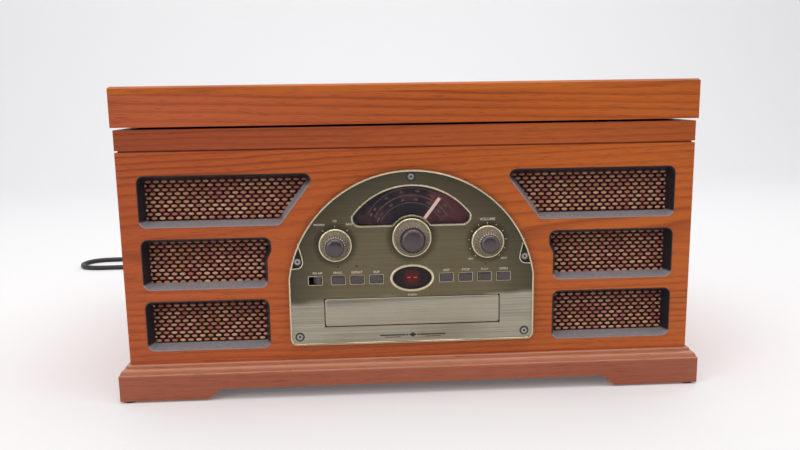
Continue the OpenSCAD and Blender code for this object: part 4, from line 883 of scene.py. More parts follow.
def metal(name, dark, light, gloss=0.3, spread=0.1, turn=(0, 0, 0)):
    """Bare or plated metal with drawn scratches; dark and light are the ends of its tarnish."""
    s = Finish(name, metallic=1.0)
    marks = s.group(brushed_metal, Vector=s.place(turn=turn))
    both = s.maths("MULTIPLY", s.maths("ADD", marks["Scratches"], marks["Tarnish"]), 0.5)
    s.feed("Base Color", s.blend(s.between(both, 0.35, 0.65), tone(dark), tone(light)))
    s.feed("Roughness", s.between(marks["Scratches"], 0.3, 0.7, gloss - spread, gloss + spread))
    s.relief(marks["Scratches"], 0.00001)
    return s.material


dress("speaker_frames", metal("speaker_steel", "4a4a4d", "6a6a6e", 0.45))
pulp = Finish("speaker_pulp", roughness=0.85)
pulp.feed("Base Color", pulp.blend(pulp.noise(pulp.place(), 700, 4), tone("1d1b1a"), tone("3a3633")))
pulp.relief(pulp.noise(pulp.place(), 500, 4), 0.0002)
dress("speaker_cones", pulp.material)


# ---- Faceplate -----------------------------------------------------------------------------------------
# Stamped brass sheet in an antique finish, brushed across, with a rolled bead round its edge, round the
# dial window and round the display. Screws hold it over a black moulded backing.
plate_low, plate_high = corner("faceplate"), corner("faceplate", True)
plate_y = plate_low.y + 0.6
plate_hw, arch_z, arch_r, foot_r = plate_high.x, plate_low.z + 41.6, 101.0, 6.0
plate = Finish("antique_brass", metallic=0.85)
plate_at = plate.place()
marks = plate.group(brushed_metal, Vector=plate_at)
# The lower third of the sheet is painted paler, a painted reflection of the pale floor, under a soft wavy
# boundary above which the sheet is painted darker
wave = plate.maths("MULTIPLY", plate.maths("SUBTRACT", plate.noise(plate_at, 16, 2), 0.5), 0.03)
rise = plate.maths("ADD", plate.axis(plate_at, "Z"), wave)
reflection_edge_z = (plate_low.z + corner("cd_door", True).z - 13) / 2000 + 0.0235
painted_dark_upper = plate.between(rise, reflection_edge_z - 0.002, reflection_edge_z + 0.003)
base = plate.blend(painted_dark_upper, tone("bfb7a6"), tone("7d745c"))
scratch = plate.between(marks["Scratches"], 0.3, 0.7)
base = plate.blend(plate.maths("MULTIPLY", scratch, 0.5), base, tone("56503c"))
base = plate.blend(plate.between(marks["Tarnish"], 0.4, 0.7, 0, 0.35), base, tone("6c5c3c"))


def near(s, at, start, end):
    """1 within start mm of the point at, across the panel, and 0 beyond end mm."""
    apart = s.place((1, 0, 1), move=tuple(-c / 1000 for c in at))
    gap = s.node("ShaderNodeVectorMath", apart, settings={"operation": "LENGTH"}).outputs["Value"]
    return s.between(gap, start / 1000, end / 1000, 1, 0)


# A painted shade darkens the sheet along the arch, and a painted shadow darkens it close round the knobs
painted_arch_shade = plate.maths("SUBTRACT", 1, near(plate, (0, 0, arch_z), 60, 100))
painted_arch_shade = plate.maths("MULTIPLY", painted_arch_shade, painted_dark_upper)
base = plate.blend(plate.maths("MULTIPLY", painted_arch_shade, 0.6), base, tone("332f2b"))
for name, edge in (("tuning_knob", 17), ("selector_knob", 14), ("volume_knob", 14)):
    base = plate.blend(plate.maths("MULTIPLY", near(plate, middle(name), edge, edge + 5), 0.6), base,
                       tone("2a261c"))
lip = plate.between(plate.axis(plate_at, "Y"), plate_y / 1000 - 0.0001, plate_y / 1000 - 0.0003)
plate.feed("Base Color", plate.blend(lip, base, tone("cdbf9a")))
plate.feed("Roughness", plate.maths("MULTIPLY", plate.between(marks["Scratches"], 0.3, 0.7, 0.3, 0.46),
                                    plate.between(lip, 0, 1, 1, 0.7)))
plate.relief(marks["Scratches"], 0.00002)
dress("faceplate", plate.material)
bead_brass = metal("bead_brass", "cbbd98", "f0e7cd", 0.26, 0.08)

knob_at, volume_at, selector_at = middle("tuning_knob"), middle("volume_knob"), middle("selector_knob")


def arc(x, z, r, angles):
    """Points at a distance r from (x, z), one for each angle in radians."""
    return [(x + r * math.cos(a), z + r * math.sin(a)) for a in angles]


def arch_line(d, steps=72):
    """The faceplate's outline, drawn in by d, anticlockwise from its lower right corner."""
    low_z = plate_low.z + d
    hw, r = plate_hw - d, arch_r - d
    end = math.acos(hw / r)
    line = arc(hw - foot_r, low_z + foot_r, foot_r, [math.radians(-90 + 15 * k) for k in range(7)])
    line += arc(0, arch_z, r, [end + (math.pi - 2 * end) * k / steps for k in range(steps + 1)])
    line += arc(-hw + foot_r, low_z + foot_r, foot_r, [math.radians(180 + 15 * k) for k in range(7)])
    return line


window_z, window_hw, window_r, bump_r = knob_at.z + 10.4, 47.0, 58.5, 18.5
window_arc_z = knob_at.z - 16.9


def window_line(d, steps=48):
    """The dial window's outline, drawn in by d, anticlockwise from the left of the tuning knob."""
    r, bump, low_z, hw = window_r - d, bump_r + d, window_z + d, window_hw - d
    side = math.acos(hw / r)
    start = math.asin((low_z - knob_at.z) / bump)
    corner_r = max(5.5 - d, 1)
    line = arc(0, knob_at.z, bump, [math.pi - start + (2 * start - math.pi) * k / 20 for k in range(21)])
    line += arc(hw - corner_r, low_z + corner_r, corner_r, [math.radians(-90 + 18 * k) for k in range(6)])
    line += arc(0, window_arc_z, r, [side + (math.pi - 2 * side) * k / steps for k in range(steps + 1)])
    line += arc(-hw + corner_r, low_z + corner_r, corner_r, [math.radians(180 + 18 * k) for k in range(6)])
    return line


def on_panel(line, y):
    return [(p[0], y, p[1]) for p in line]


display_at = middle("display_module")
display_at.z = knob_at.z - 33.4


def oval_line(half_x, half_z, steps=48):
    return [(half_x * math.cos(a), display_at.z + half_z * math.sin(a))
            for a in [2 * math.pi * k / steps for k in range(steps)]]


bead_y = plate_y - 0.45
# Inner edge of the notch at each side, from the arch down to the outer edge
notch_edge = [(91.6, 43.4), (90, 37.6), (88.6, 31.8), (88.1, 29), (88.1, 27), (89.2, 24.6), (91.2, 23.2),
              (95, 22.8), (98.6, 22.7)]
beads = piece(
    "faceplate_beads", bead_brass,
    tube(on_panel(arch_line(0.8), bead_y), 0.8, 10, closed=True),
    tube(on_panel(window_line(-0.7), bead_y), 0.8, 10, closed=True),
    *[tube(on_panel([(s * x, arch_z + z) for x, z in notch_edge], bead_y + 0.25), 0.5, 8) for s in (-1, 1)],
    lofted([on_panel(oval_line(16.1 + 1.0 - 0.95 * math.cos(a), 9.6 + 0.95 - 0.9 * math.cos(a)),
                     bead_y + 0.5 - 0.85 * math.sin(a)) for a in [math.pi * k / 8 for k in range(9)]]
           + [on_panel(oval_line(18, 11.4), bead_y + 0.9), on_panel(oval_line(16.15, 9.65), bead_y + 0.9)],
           closed=True),
)
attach(beads, "root")
dress("panel_backing", moulded("backing_black", "18181a", 0.5))


# ---- Screws --------------------------------------------------------------------------------------------
# Nickel-plated cross-head screws: five hold the faceplate, six the back board, and small countersunk ones
# the hinges. A dark washer ring lies round the top screw and the two lowest screws of the faceplate.
nickel = metal("nickel_plate", "9a9a9c", "d9d9d8", 0.22, 0.08)
top_screw_z, side_screw_z, low_screw_z = arch_z + 95.5, arch_z + 28.4, plate_low.z + 7.3
panel_screws = [(0, top_screw_z)] + [(s * x, z) for s in (-1, 1)
                                     for x, z in ((92.4, low_screw_z), (92.3, side_screw_z))]
# A painted shade darkens the recess in the middle of each head and a ring close to its edge
heads = Finish("screw_heads", metallic=0.85, roughness=0.28)
heads_tone = heads.blend(heads.noise(heads.place(), 900, 3), tone("8d8b88"), tone("d3d0ca"))
for x, z in panel_screws:
    recess = near(heads, (x, 0, z), 0.8, 1.3)
    heads_tone = heads.blend(heads.maths("MULTIPLY", recess, 0.9), heads_tone, tone("1c1a18"))
    off_ring = heads.maths("ABSOLUTE", heads.maths("SUBTRACT", near(heads, (x, 0, z), 2, 3), 0.5))
    edge_ring = heads.between(off_ring, 0.3, 0.5, 1, 0)
    heads_tone = heads.blend(heads.maths("MULTIPLY", edge_ring, 0.7), heads_tone, tone("2a2724"))
heads.feed("Base Color", heads_tone)
heads.relief(heads.noise(heads.place(), 1500, 2), 0.00001)
dress("screws", heads.material)


def lathe(outline, place, along=(0, 1, 0), sides=48, flutes=0, depth=0.0, fluted=None, ring=False):
    """A turned piece: the outline holds (radius, distance along its axis), end to end, or all round for a
    ring; fluted says how deep the flutes are at a point of the outline, from 0 to 1."""
    axis = Vector(along).normalized()
    u = axis.orthogonal().normalized() if abs(axis.y) < 0.9 else Vector((1, 0, 0))
    v = axis.cross(u)
    rounds = []
    for i, (r, up) in enumerate(outline):
        share = fluted[i] if fluted else 0
        line = []
        for k in range(sides):
            a = 2 * math.pi * k / sides
            cut = depth * share * (0.5 - 0.5 * math.cos(flutes * a))
            line.append(Vector(place) + axis * up + (r - cut) * (math.cos(a) * u + math.sin(a) * v))
        rounds.append(line)
    return lofted(rounds, closed=ring, capped=not ring)


washers = piece(
    "screw_washers", moulded("washer_black", "1b1a1b", 0.5),
    *[lathe([(2.75, 0.4), (2.85, -0.1), (3.9, -0.1), (4.1, 0.4)], (x, plate_y + 0.15, z), sides=32, ring=True)
      for x, z in panel_screws if z != side_screw_z],
)
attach(washers, "root")


# ---- Lettering and tuning dial -------------------------------------------------------------------------
# Plain words for each control are printed on the brass in cream ink, and a plain rule with lozenges under
# the drawer in charcoal. Behind the dark window a printed scale has arcs, ticks and numbers for two bands.
print_t = 0.04


def words(items, level, flat=False):
    """Printed words as thin solid letters; each item is (text, x, z, height, turn). They stand at the depth
    level and face forwards, or lie flat at the height level, with the items' z along Y."""
    points, faces = [], []
    for text, x, z, height, turn in items:
        curve = bpy.data.curves.new("letters", "FONT")
        curve.body = text
        curve.size = height * 1.4
        curve.align_x, curve.align_y = "CENTER", "CENTER"
        curve.extrude = print_t / 2
        curve.resolution_u = 2
        curve.offset = height * 0.012
        letters = bpy.data.objects.new("letters", curve)
        bpy.context.collection.objects.link(letters)
        graph = bpy.context.evaluated_depsgraph_get()
        data = bpy.data.meshes.new_from_object(letters.evaluated_get(graph))
        start = len(points)
        a = math.radians(turn)
        for vertex in data.vertices:
            p = vertex.co
            across = x + p.x * math.cos(a) - p.y * math.sin(a)
            up = z + p.x * math.sin(a) + p.y * math.cos(a)
            points.append((across, up, level + p.z) if flat else (across, level - p.z, up))
        faces += [tuple(start + i for i in polygon.vertices) for polygon in data.polygons]
        bpy.data.objects.remove(letters)
        bpy.data.meshes.remove(data)
    return points, faces


def strip(line, width, y):
    """A thin printed line along points of (x, z)."""
    left_side, right_side = [], []
    for i, p in enumerate(line):
        p = Vector(p)
        d = (Vector(line[min(i + 1, len(line) - 1)]) - Vector(line[max(i - 1, 0)])).normalized()
        n = Vector((-d.y, d.x)) * width / 2
        left_side.append(p + n)
        right_side.append(p - n)
    rings = [[(a.x, y - print_t / 2, a.y), (a.x, y + print_t / 2, a.y), (b.x, y + print_t / 2, b.y),
              (b.x, y - print_t / 2, b.y)] for a, b in zip(left_side, right_side)]
    return lofted(rings, capped=True)


def ink(name, code, gloss=0.6, glow=0.0):
    s = Finish(name, specular_ior_level=0.3)
    patch = s.noise(s.place(), 1800, 3)
    base = tone(code)
    s.feed("Base Color", s.blend(patch, tuple(c * 0.75 for c in base), base))
    s.feed("Roughness", s.between(patch, 0.3, 0.7, gloss - 0.1, gloss + 0.1))
    if glow:
        s.feed("Emission Color", s.blend(patch, tuple(c * 0.8 for c in base), base))
        s.feed("Emission Strength", glow)
    return s.material


button_names = ["button_program", "button_repeat", "button_skip_back", "button_skip_forward", "button_stop",
                "button_play", "button_open"]
button_at = [middle(name) for name in button_names]
button_z = button_at[0].z
slot_x = middle("band_slider").x - 1.2
print_y = plate_y - 0.01
cap_z = button_z + 6.1
marks_on_plate = [("FM AM", slot_x, cap_z, 1.9, 0)]
marks_on_plate += [(word, at.x, cap_z, 1.9, 0) for word, at in zip(
    ("PROG.", "REPEAT", "SKIP", "SKIP", "STOP", "PLAY", "OPEN"), button_at)]
marks_on_plate += [
    ("VOLUME", volume_at.x, volume_at.z + 18.2, 2.3, 0),
    ("MIN", volume_at.x - 13.5, volume_at.z - 14.2, 1.6, 0),
    ("MAX", volume_at.x + 13.5, volume_at.z - 14.2, 1.6, 0),
    ("PHONO", selector_at.x - 12.5, selector_at.z + 16.6, 1.7, 0),
    ("CD", selector_at.x, selector_at.z + 19.4, 1.7, 0),
    ("RADIO", selector_at.x + 12.5, selector_at.z + 16.6, 1.7, 0),
    ("STEREO", display_at.x, display_at.z - 14.4, 1.5, 0),
]
ticks = []
for at, turns in ((volume_at, range(-140, 141, 28)), (selector_at, (-40, 0, 40))):
    for a in turns:
        s, c = math.sin(math.radians(a)), math.cos(math.radians(a))
        ticks.append(strip([(at.x + r * s, at.z + r * c) for r in (14.6, 15.8)], 0.4, print_y))
rule_z = plate_low.z + 6.6
rules = [strip([(s * 6, rule_z), (s * 27, rule_z)], 1.1, print_y) for s in (-1, 1)]
rules += [strip([(s * 10, rule_z - 1.7), (s * 23, rule_z - 1.7)], 0.5, print_y) for s in (-1, 1)]


def lozenge(x, z, w, h):
    return lofted([[(x - w, y, z), (x, y, z - h), (x + w, y, z), (x, y, z + h)]
                   for y in (print_y + 0.02, print_y - 0.03)], capped=True)


print_ink = ink("cream_ink", "f2ead6")
panel_print = piece("panel_print", print_ink, words(marks_on_plate, print_y), *ticks, sharp=20)
ornament = piece("panel_ornament", ink("charcoal_ink", "3a352f"), *rules, lozenge(0, rule_z, 3.2, 2.0),
                 lozenge(-4.6, rule_z, 1, 0.8), lozenge(4.6, rule_z, 1, 0.8), sharp=20)
for printed in (panel_print, ornament):
    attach(printed, "root")

scale_y = corner("dial_scale").y - 0.03
scale_marks, scale_words = [], []


def on_dial(r, a):
    return (r * math.sin(math.radians(a)), knob_at.z + r * math.cos(math.radians(a)))


for r in (39.5, 33.5, 27.5):
    scale_marks.append(strip([on_dial(r, a) for a in range(-62, 63, 4)], 0.28, scale_y))
for i in range(41):
    a = -60 + 3 * i
    reach = 1.7 if i % 5 == 0 else 0.9
    scale_marks.append(strip([on_dial(33.5 - reach, a), on_dial(33.5 + reach, a)], 0.25, scale_y))
fm_r, am_r = 36.9, 30.1
for r, numbers in ((fm_r, ("88", "92", "96", "100", "104", "108")),
                   (am_r, ("53", "60", "80", "100", "130", "160"))):
    scale_words += [(text, *on_dial(r, a), 1.9, -a) for text, a in zip(numbers, range(-52, 53, 20))]
scale_words += [("FM", *on_dial(fm_r, -60.5), 1.8, 58), ("AM", *on_dial(am_r, -62), 1.8, 58)]
dial_ink = ink("dial_ink", "d9a99c", 0.5, 0.25)
dial_print = piece("dial_print", dial_ink, words(scale_words, scale_y), *scale_marks, sharp=20)
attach(dial_print, "root")

scale = Finish("dial_card", roughness=0.5)
scale_at = scale.place()
patches = scale.between(scale.noise(scale_at, 45, 3), 0.42, 0.62)
scale.feed("Base Color", scale.blend(scale.maths("MULTIPLY", patches, 0.8), tone("2f2638"), tone("c4605e")))
scale.relief(scale.noise(scale_at, 900, 2), 0.00002)
dress("dial_scale", scale.material)
glass = Finish("dial_glass", base_color=tone("1b1722"), alpha=0.3, specular_ior_level=0.5)
smudge = glass.noise(glass.place(), 60, 4)
glass.feed("Roughness", glass.between(smudge, 0.35, 0.7, 0.04, 0.14))
dress("dial_lens", glass.material)
dress("dial_pointer", ink("pointer_paint", "ffd9cf", 0.4, 1.1))


# ---- Display -------------------------------------------------------------------------------------------
# An oval smoked window in a thick brass rim lies over a two-digit red display that is lit behind it. Three
# small red lamps stand above the buttons.
smoked = Finish("smoked_window", specular_ior_level=0.3)
smoked_at = smoked.place()
glow_x = smoked.maths("ABSOLUTE", smoked.axis(smoked_at, "X"))
glow_z = smoked.maths("ABSOLUTE", smoked.maths("SUBTRACT", smoked.axis(smoked_at, "Z"), display_at.z / 1000))
lit = smoked.maths("MULTIPLY", smoked.between(glow_x, 0.0078, 0.0030), smoked.between(glow_z, 0.0076, 0.0030))
speckle = smoked.noise(smoked_at, 500, 3)
lit = smoked.maths("MULTIPLY", lit, smoked.between(speckle, 0.3, 0.7, 0.5, 1.0))
smoked.feed("Base Color", smoked.blend(lit, tone("180a0e"), tone("35080f")))
smoked.feed("Emission Color", smoked.blend(lit, (0.004, 0, 0), tone("b0141f")))
smoked.feed("Emission Strength", 0.16)
smoked.feed("Roughness", smoked.between(speckle, 0.3, 0.7, 0.08, 0.16))
dress("display_module", smoked.material)
screen_y = corner("display_module").y - 0.03
# Only the middle bar of each digit is lit
bars = [strip([(x - 1.4, display_at.z), (x + 1.4, display_at.z)], 0.75, screen_y) for x in (-2.7, 2.7)]
digits = piece("display_digits", ink("display_red", "e0483c", 0.5, 0.55), *bars)
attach(digits, "root")
lamps_lit = piece(
    "indicator_lamps", moulded("lamp_red", "7a2a2a", 0.25, 400),
    *[lathe([(0.9, 0.1), (0.9, -0.25), (0.6, -0.5), (0.2, -0.6)], (x, plate_y, z), sides=20)
      for x, z in ((button_at[0].x, button_z + 11.1), (button_at[1].x, button_z + 11.3),
                   (button_at[5].x + 0.7, button_z + 10.3))],
)
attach(lamps_lit, "root")


# ---- Knobs ---------------------------------------------------------------------------------------------
# Each knob has a polished brass ring, a fluted smoky cone and a dark domed cap, pressed on a steel shaft.
# The tuning knob's shaft also carries the brass gear that turns the capacitor.
smoky = Finish("knob_smoke", metallic=0.75)
smoky_at = smoky.place()
smoky_marks = smoky.group(brushed_metal, Vector=smoky_at)
domed = smoky.between(smoky.axis(smoky_at, "Y"), (FRONT - 17.2) / 1000, (FRONT - 16.4) / 1000, 1, 0)
smoky.feed("Base Color", smoky.blend(
    domed, smoky.blend(smoky_marks["Tarnish"], tone("8d857a"), tone("cfc5b4")), tone("5f5658")))
smoky.feed("Roughness", smoky.between(smoky_marks["Tarnish"], 0.3, 0.7, 0.24, 0.4))
shaft_steel = metal("shaft_steel", "8b8b8d", "c9c9c9", 0.3, turn=(0, 0, 90))
gear_brass = metal("gear_brass", "a98c4c", "d8bd7c", 0.35)
knob_back = plate_y - 0.55


def gear(teeth, place, y0, y1, turn):
    """A module-1 spur gear with slim teeth, one of them at the angle turn."""
    line = []
    quarter = 90 / teeth
    for i in range(teeth):
        for r, share in ((teeth / 2 - 1.2, -1.2), (teeth / 2, -0.8), (teeth / 2 + 0.8, -0.35),
                         (teeth / 2 + 0.8, 0.35), (teeth / 2, 0.8), (teeth / 2 - 1.2, 1.2)):
            a = math.radians(turn + i * 360 / teeth + share * quarter)
            line.append((place.x + r * math.cos(a), place.z + r * math.sin(a)))
    return lofted([on_panel(line, y) for y in (y0, y1)], capped=True)


def knob(name, at, ring_r, front, shaft_end, flutes):
    """Ring, fluted cone with its dome, and shaft of one knob, riding on the body of that name."""
    scale = (ring_r - 2) / 14
    cone = [(ring_r - 1.8, knob_back - 2.2), (ring_r - 2.2, knob_back - 3.4), (ring_r - 3, front + 9.5),
            (ring_r - 4.3, front + 5.2), (ring_r - 4.9, front + 4.2), (ring_r - 5.6, front + 3.8),
            (ring_r - 6.3, front + 4.0), (9.4 * scale, front + 3.2), (9.2 * scale, front + 2.2),
            (8.4 * scale, front + 1.2), (6.8 * scale, front + 0.5), (4.6 * scale, front + 0.12),
            (2.2 * scale, front + 0.02), (0.3, front)]
    depths = [0.5, 1, 1, 1, 0.8, 0.2] + [0] * 8
    body = piece(name + "_body", smoky.material,
                 lathe([(r, y - at.y) for r, y in cone], at, sides=flutes * 8, flutes=flutes, depth=1.0,
                       fluted=depths), sharp=50)
    ring = piece(name + "_ring", bead_brass, lathe(
        [(r, y - at.y) for r, y in (
            (ring_r - 1.6, knob_back), (ring_r - 0.6, knob_back), (ring_r - 0.1, knob_back - 0.5),
            (ring_r, knob_back - 1.4), (ring_r - 0.15, knob_back - 2.0), (ring_r - 0.6, knob_back - 2.5),
            (ring_r - 1.2, knob_back - 2.6), (ring_r - 1.7, knob_back - 2.3),
            (ring_r - 1.9, knob_back - 1.6))],
        at, sides=96), sharp=50)
    shaft = piece(name + "_shaft", shaft_steel, lathe(
        [(2.5, shaft_end - at.y), (3.0, shaft_end - 0.5 - at.y), (3.0, knob_back - 0.5 - at.y)], at))
    for part, slot in ((body, "knob_metal"), (ring, "antique_brass"), (shaft, "bright_steel")):
        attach(part, name)
    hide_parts(name)


shaft_end = corner("tuning_knob", True).y
for name, at, ring_r, flutes in (("tuning_knob", knob_at, 16.0, 30), ("selector_knob", selector_at, 13.5, 26),
                                 ("volume_knob", volume_at, 13.5, 26)):
    knob(name, at, ring_r, corner(name).y, shaft_end, flutes)
tuning_gear = piece("tuning_gear", gear_brass, gear(24, knob_at, FRONT + 8, FRONT + 12, -31))
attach(tuning_gear, "tuning_knob")
dress("capacitor_gear", gear_brass)


# ---- Push buttons and band switch ----------------------------------------------------------------------
# Seven moulded buttons with rounded edges stand in the plate, each on a stem to its switch, and the band
# switch slides in a slot at their left. A fine brass frame runs round each hole.
button_plastic = moulded("button_plastic", "4e4345", 0.3, 600, 0.00001, 0.6)
button_w, button_h = 10.7, 6.8
cap_front = plate_y - 1.4
for name, at in zip(button_names, button_at):
    low, high = corner(name), corner(name, True)
    w, h = (button_w - 0.6) / 2, (button_h - 0.6) / 2
    button = piece(
        name + "_cap", button_plastic,
        lofted([on_panel(rounded(inset([(at.x - w, at.z - h), (at.x + w, at.z - h), (at.x + w, at.z + h),
                                        (at.x - w, at.z + h)], d), 0.5), y)
                for d, y in ((0, FRONT + 0.8), (0, cap_front + 0.7), (0.2, cap_front + 0.25),
                             (0.6, cap_front), (1.3, cap_front + 0.12), (2.2, cap_front + 0.2))],
               capped=True),
        brick((low.x, FRONT + 0.3, low.z), (high.x, FRONT + 1.5, high.z), 0.2),
        tube([(at.x, FRONT + 1.3, at.z), (at.x, high.y, at.z)], 1.6, 20),
        sharp=50,
    )
    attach(button, name)
    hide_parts(name)

low, high = corner("band_slider"), corner("band_slider", True)
slider_x1 = high.x - 2.8
slider_parts = [brick((slider_x1 - 4.2, plate_y - 1.2, button_z - 3.1),
                      (slider_x1, FRONT + 0.8, button_z + 3.1), 0.4)]
slider_parts += [brick((slider_x1 - 3.7 + 1.1 * i, plate_y - 1.19, button_z - 2.6),
                       (slider_x1 - 3.2 + 1.1 * i, plate_y - 0.9, button_z + 2.6), 0.1) for i in range(3)]
slider_parts.append(brick((low.x, FRONT + 0.3, low.z), (high.x, FRONT + 1.5, high.z), 0.2))
slider = piece("band_switch_slider", button_plastic, *slider_parts)
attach(slider, "band_slider")
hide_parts("band_slider")


def hole_frame(x, w, h):
    line = rounded([(x - w / 2, button_z - h / 2), (x + w / 2, button_z - h / 2),
                    (x + w / 2, button_z + h / 2), (x - w / 2, button_z + h / 2)], 0.5, 3)
    return tube(on_panel(line, plate_y + 0.02), 0.28, 8, closed=True)


switch_x = -78.3
frames = piece("button_frames", bead_brass,
               *[hole_frame(x, button_w + 0.5, button_h + 0.5)
                 for x in [at.x for at in button_at] + [switch_x]])
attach(frames, "root")


# ---- Disc drawer ---------------------------------------------------------------------------------------
# The drawer's brass front has a bevelled, polished edge and is screwed to a black tray with a stepped
# recess for discs. The tray's rack meshes with a nylon pinion in a pressed steel loader.
door_low, door_high = corner("cd_door"), corner("cd_door", True)
door_brass = Finish("door_brass", metallic=0.8)
door_at = door_brass.place()
door_marks = door_brass.group(brushed_metal, Vector=door_at)
door_streaks = door_brass.between(door_marks["Scratches"], 0.3, 0.7)
door_stain = door_brass.between(door_marks["Tarnish"], 0.4, 0.7, 0, 0.3)
door_base = door_brass.blend(door_streaks, tone("a59c8a"), tone("bcb5a4"))
door_base = door_brass.blend(door_stain, door_base, tone("968b74"))
door_edge = door_brass.between(door_brass.axis(door_at, "Y"), door_low.y / 1000 + 0.00015,
                               door_low.y / 1000 + 0.0004)
door_brass.feed("Base Color", door_brass.blend(door_edge, door_base, tone("eee6cf")))
door_brass.feed("Roughness", door_brass.between(door_marks["Scratches"], 0.3, 0.7, 0.26, 0.4))
door_brass.relief(door_marks["Scratches"], 0.00002)
door_outline = [(door_low.x, door_low.z), (door_high.x, door_low.z), (door_high.x, door_high.z),
                (door_low.x, door_high.z)]
door = piece(
    "drawer_front", door_brass.material,
    lofted([on_panel(rounded(inset(door_outline, d), max(2 - d, 1)), y) for d, y in (
        (0, door_high.y), (0, door_low.y + 0.7), (0.25, door_low.y + 0.3), (0.8, door_low.y))], capped=True),
)
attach(door, "cd_tray")
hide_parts("cd_door")
dress("cd_tray", moulded("tray_plastic", "1f1f21", 0.4, 1100, 0.00003))
disc_mid = Vector((0, FRONT - 1.4 + 76, corner("cd_tray", True).z))
tray_steps = piece(
    "tray_steps", moulded("tray_step_plastic", "2a2a2c", 0.3, 900, 0.00002),
    lathe([(41.2, -5.6), (41.2, -4.9), (40.4, -4.9), (40.4, -5.6)], disc_mid, (0, 0, 1), 96, ring=True),
    lathe([(60.4, -2.4), (60.4, -1.9), (59.6, -2.1), (59.6, -2.4)], disc_mid, (0, 0, 1), 96, ring=True),
)
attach(tray_steps, "cd_tray")
dress("loader_pinion", moulded("nylon", "e3e0d6", 0.4, 800))
dress("cd_loader", metal("loader_steel", "6f7276", "9a9da1", 0.35))


# ---- Control board -------------------------------------------------------------------------------------
# A green fibreglass board behind the panel carries the tuner box, the two rotary controls and a switch
# behind each button.
def circuit_board(name, start, end, code):
    """A printed board; the parts that stand past it, from start to end mm along Y, take the colour code."""
    s = Finish(name, roughness=0.4, specular_ior_level=0.5)
    where = s.place()
    tracks = s.node("ShaderNodeTexBrick", Vector=s.place(turn=(90, 0, 0)), Scale=70, Color1=(0, 0, 0, 1),
                    Color2=(0.2, 0.2, 0.2, 1), Mortar=(1, 1, 1, 1)).outputs["Fac"]
    grain = s.noise(where, 400, 3)
    green = s.blend(grain, tone("1d4a2c"), tone("2c6a3d"))
    green = s.blend(s.maths("MULTIPLY", tracks, 0.6), green, tone("4c8a52"))
    past = s.between(s.axis(where, "Y"), start / 1000, end / 1000)
    s.feed("Base Color", s.blend(past, green, tone(code)))
    s.relief(s.maths("ADD", tracks, grain), 0.00005)
    return s.material


dress("control_board", circuit_board("control_board_green", FRONT + 21.7, FRONT + 22.2, "9a9b9d"))


# ---- Lid fittings --------------------------------------------------------------------------------------
# Two five-knuckle brass butt hinges join lid and back, each leaf held by three cross-head screws. A steel
# stay arm on the right runs in a slotted track and holds the lid open.
hinge_brass = metal("hinge_brass", "a5853f", "d6b66c", 0.32)
for name in ("hinge_lower_leaves", "hinge_upper_leaves"):
    dress(name, hinge_brass)
stay_steel = metal("stay_steel", "a9a9a8", "d6d5d2", 0.3, turn=(0, 0, 90))
dress("stay_arm", stay_steel)
dress("stay_track", stay_steel)


def cross_head(r):
    """A domed screw head about the origin that faces +Y, with a four-pointed recess."""
    return lathe([(r, -0.3), (r, 0.1), (0.93 * r, 0.35), (0.7 * r, 0.55), (0.52 * r, 0.62), (0.42 * r, 0.1),
                  (0.1 * r, 0.0)], (0, 0, 0), sides=32, flutes=4, depth=0.34 * r,
                 fluted=[0, 0, 0, 0, 1, 0.8, 0])


for body, node in (("root", "hinge_lower_leaves"), ("lid", "hinge_upper_leaves")):
    low, high = corner(node), corner(node, True)
    if body == "root":
        heights_z, face_y = (low.z + 5, low.z + 9.5), corner("back_panel", True).y + 1.2
    else:
        heights_z, face_y = (high.z - 5, high.z - 12), corner("lid_frame", True).y + 1.2
    spots = [((s * 150 + dx, face_y, heights_z[0 if dx else 1]), (0, 15 * dx, 0))
             for s in (-1, 1) for dx in (-13, 0, 13)]
    heads = repeated("hinge_screws_" + body, piece("screw_unit", nickel, cross_head(2.4)), spots, nickel)
    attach(heads, body)


# ---- Turntable -----------------------------------------------------------------------------------------
# A black moulded deck holds a belt-driven platter with a ribbed rubber mat on a steel spindle. Two rows of
# silver dots round the platter's rim show its speed.
deck_z = corner("platter_mat").z - 13
dress("deck", moulded("deck_plastic", "232225", 0.5, 1300, 0.00005))
platter_at = middle("platter")
platter_r = (corner("platter", True).x - corner("platter").x) / 2
platter_z = corner("platter").z
dress("platter", metal("platter_casting", "3a3a3c", "59595c", 0.34, 0.05))
dress("spindle", metal("spindle_steel", "b5b5b7", "e6e6e6", 0.15, 0.05, turn=(0, 90, 0)))
dress("drive_belt", moulded("belt_rubber", "161616", 0.6, 900))
dress("drive_motor", metal("motor_can", "8c8e91", "b5b7ba", 0.3))
dress("motor_pulley", metal("pulley_brass", "b5a878", "ddd2a8", 0.25))

dot_unit = piece("dot_unit", nickel,
                 lathe([(0.35, 0.12), (0.62, 0.05), (0.62, -0.2)], (0, 0, 0), (1, 0, 0), 12))
dots = [((platter_at.x + platter_r * math.cos(a), platter_at.y + platter_r * math.sin(a), z),
         (0, 0, math.degrees(a)))
        for row, (z, count) in enumerate(((platter_z + 2.8, 120), (platter_z + 6.2, 100)))
        for a in [2 * math.pi * k / count for k in range(count)]]
rim_dots = repeated("platter_dots", dot_unit, dots, nickel)
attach(rim_dots, "platter")

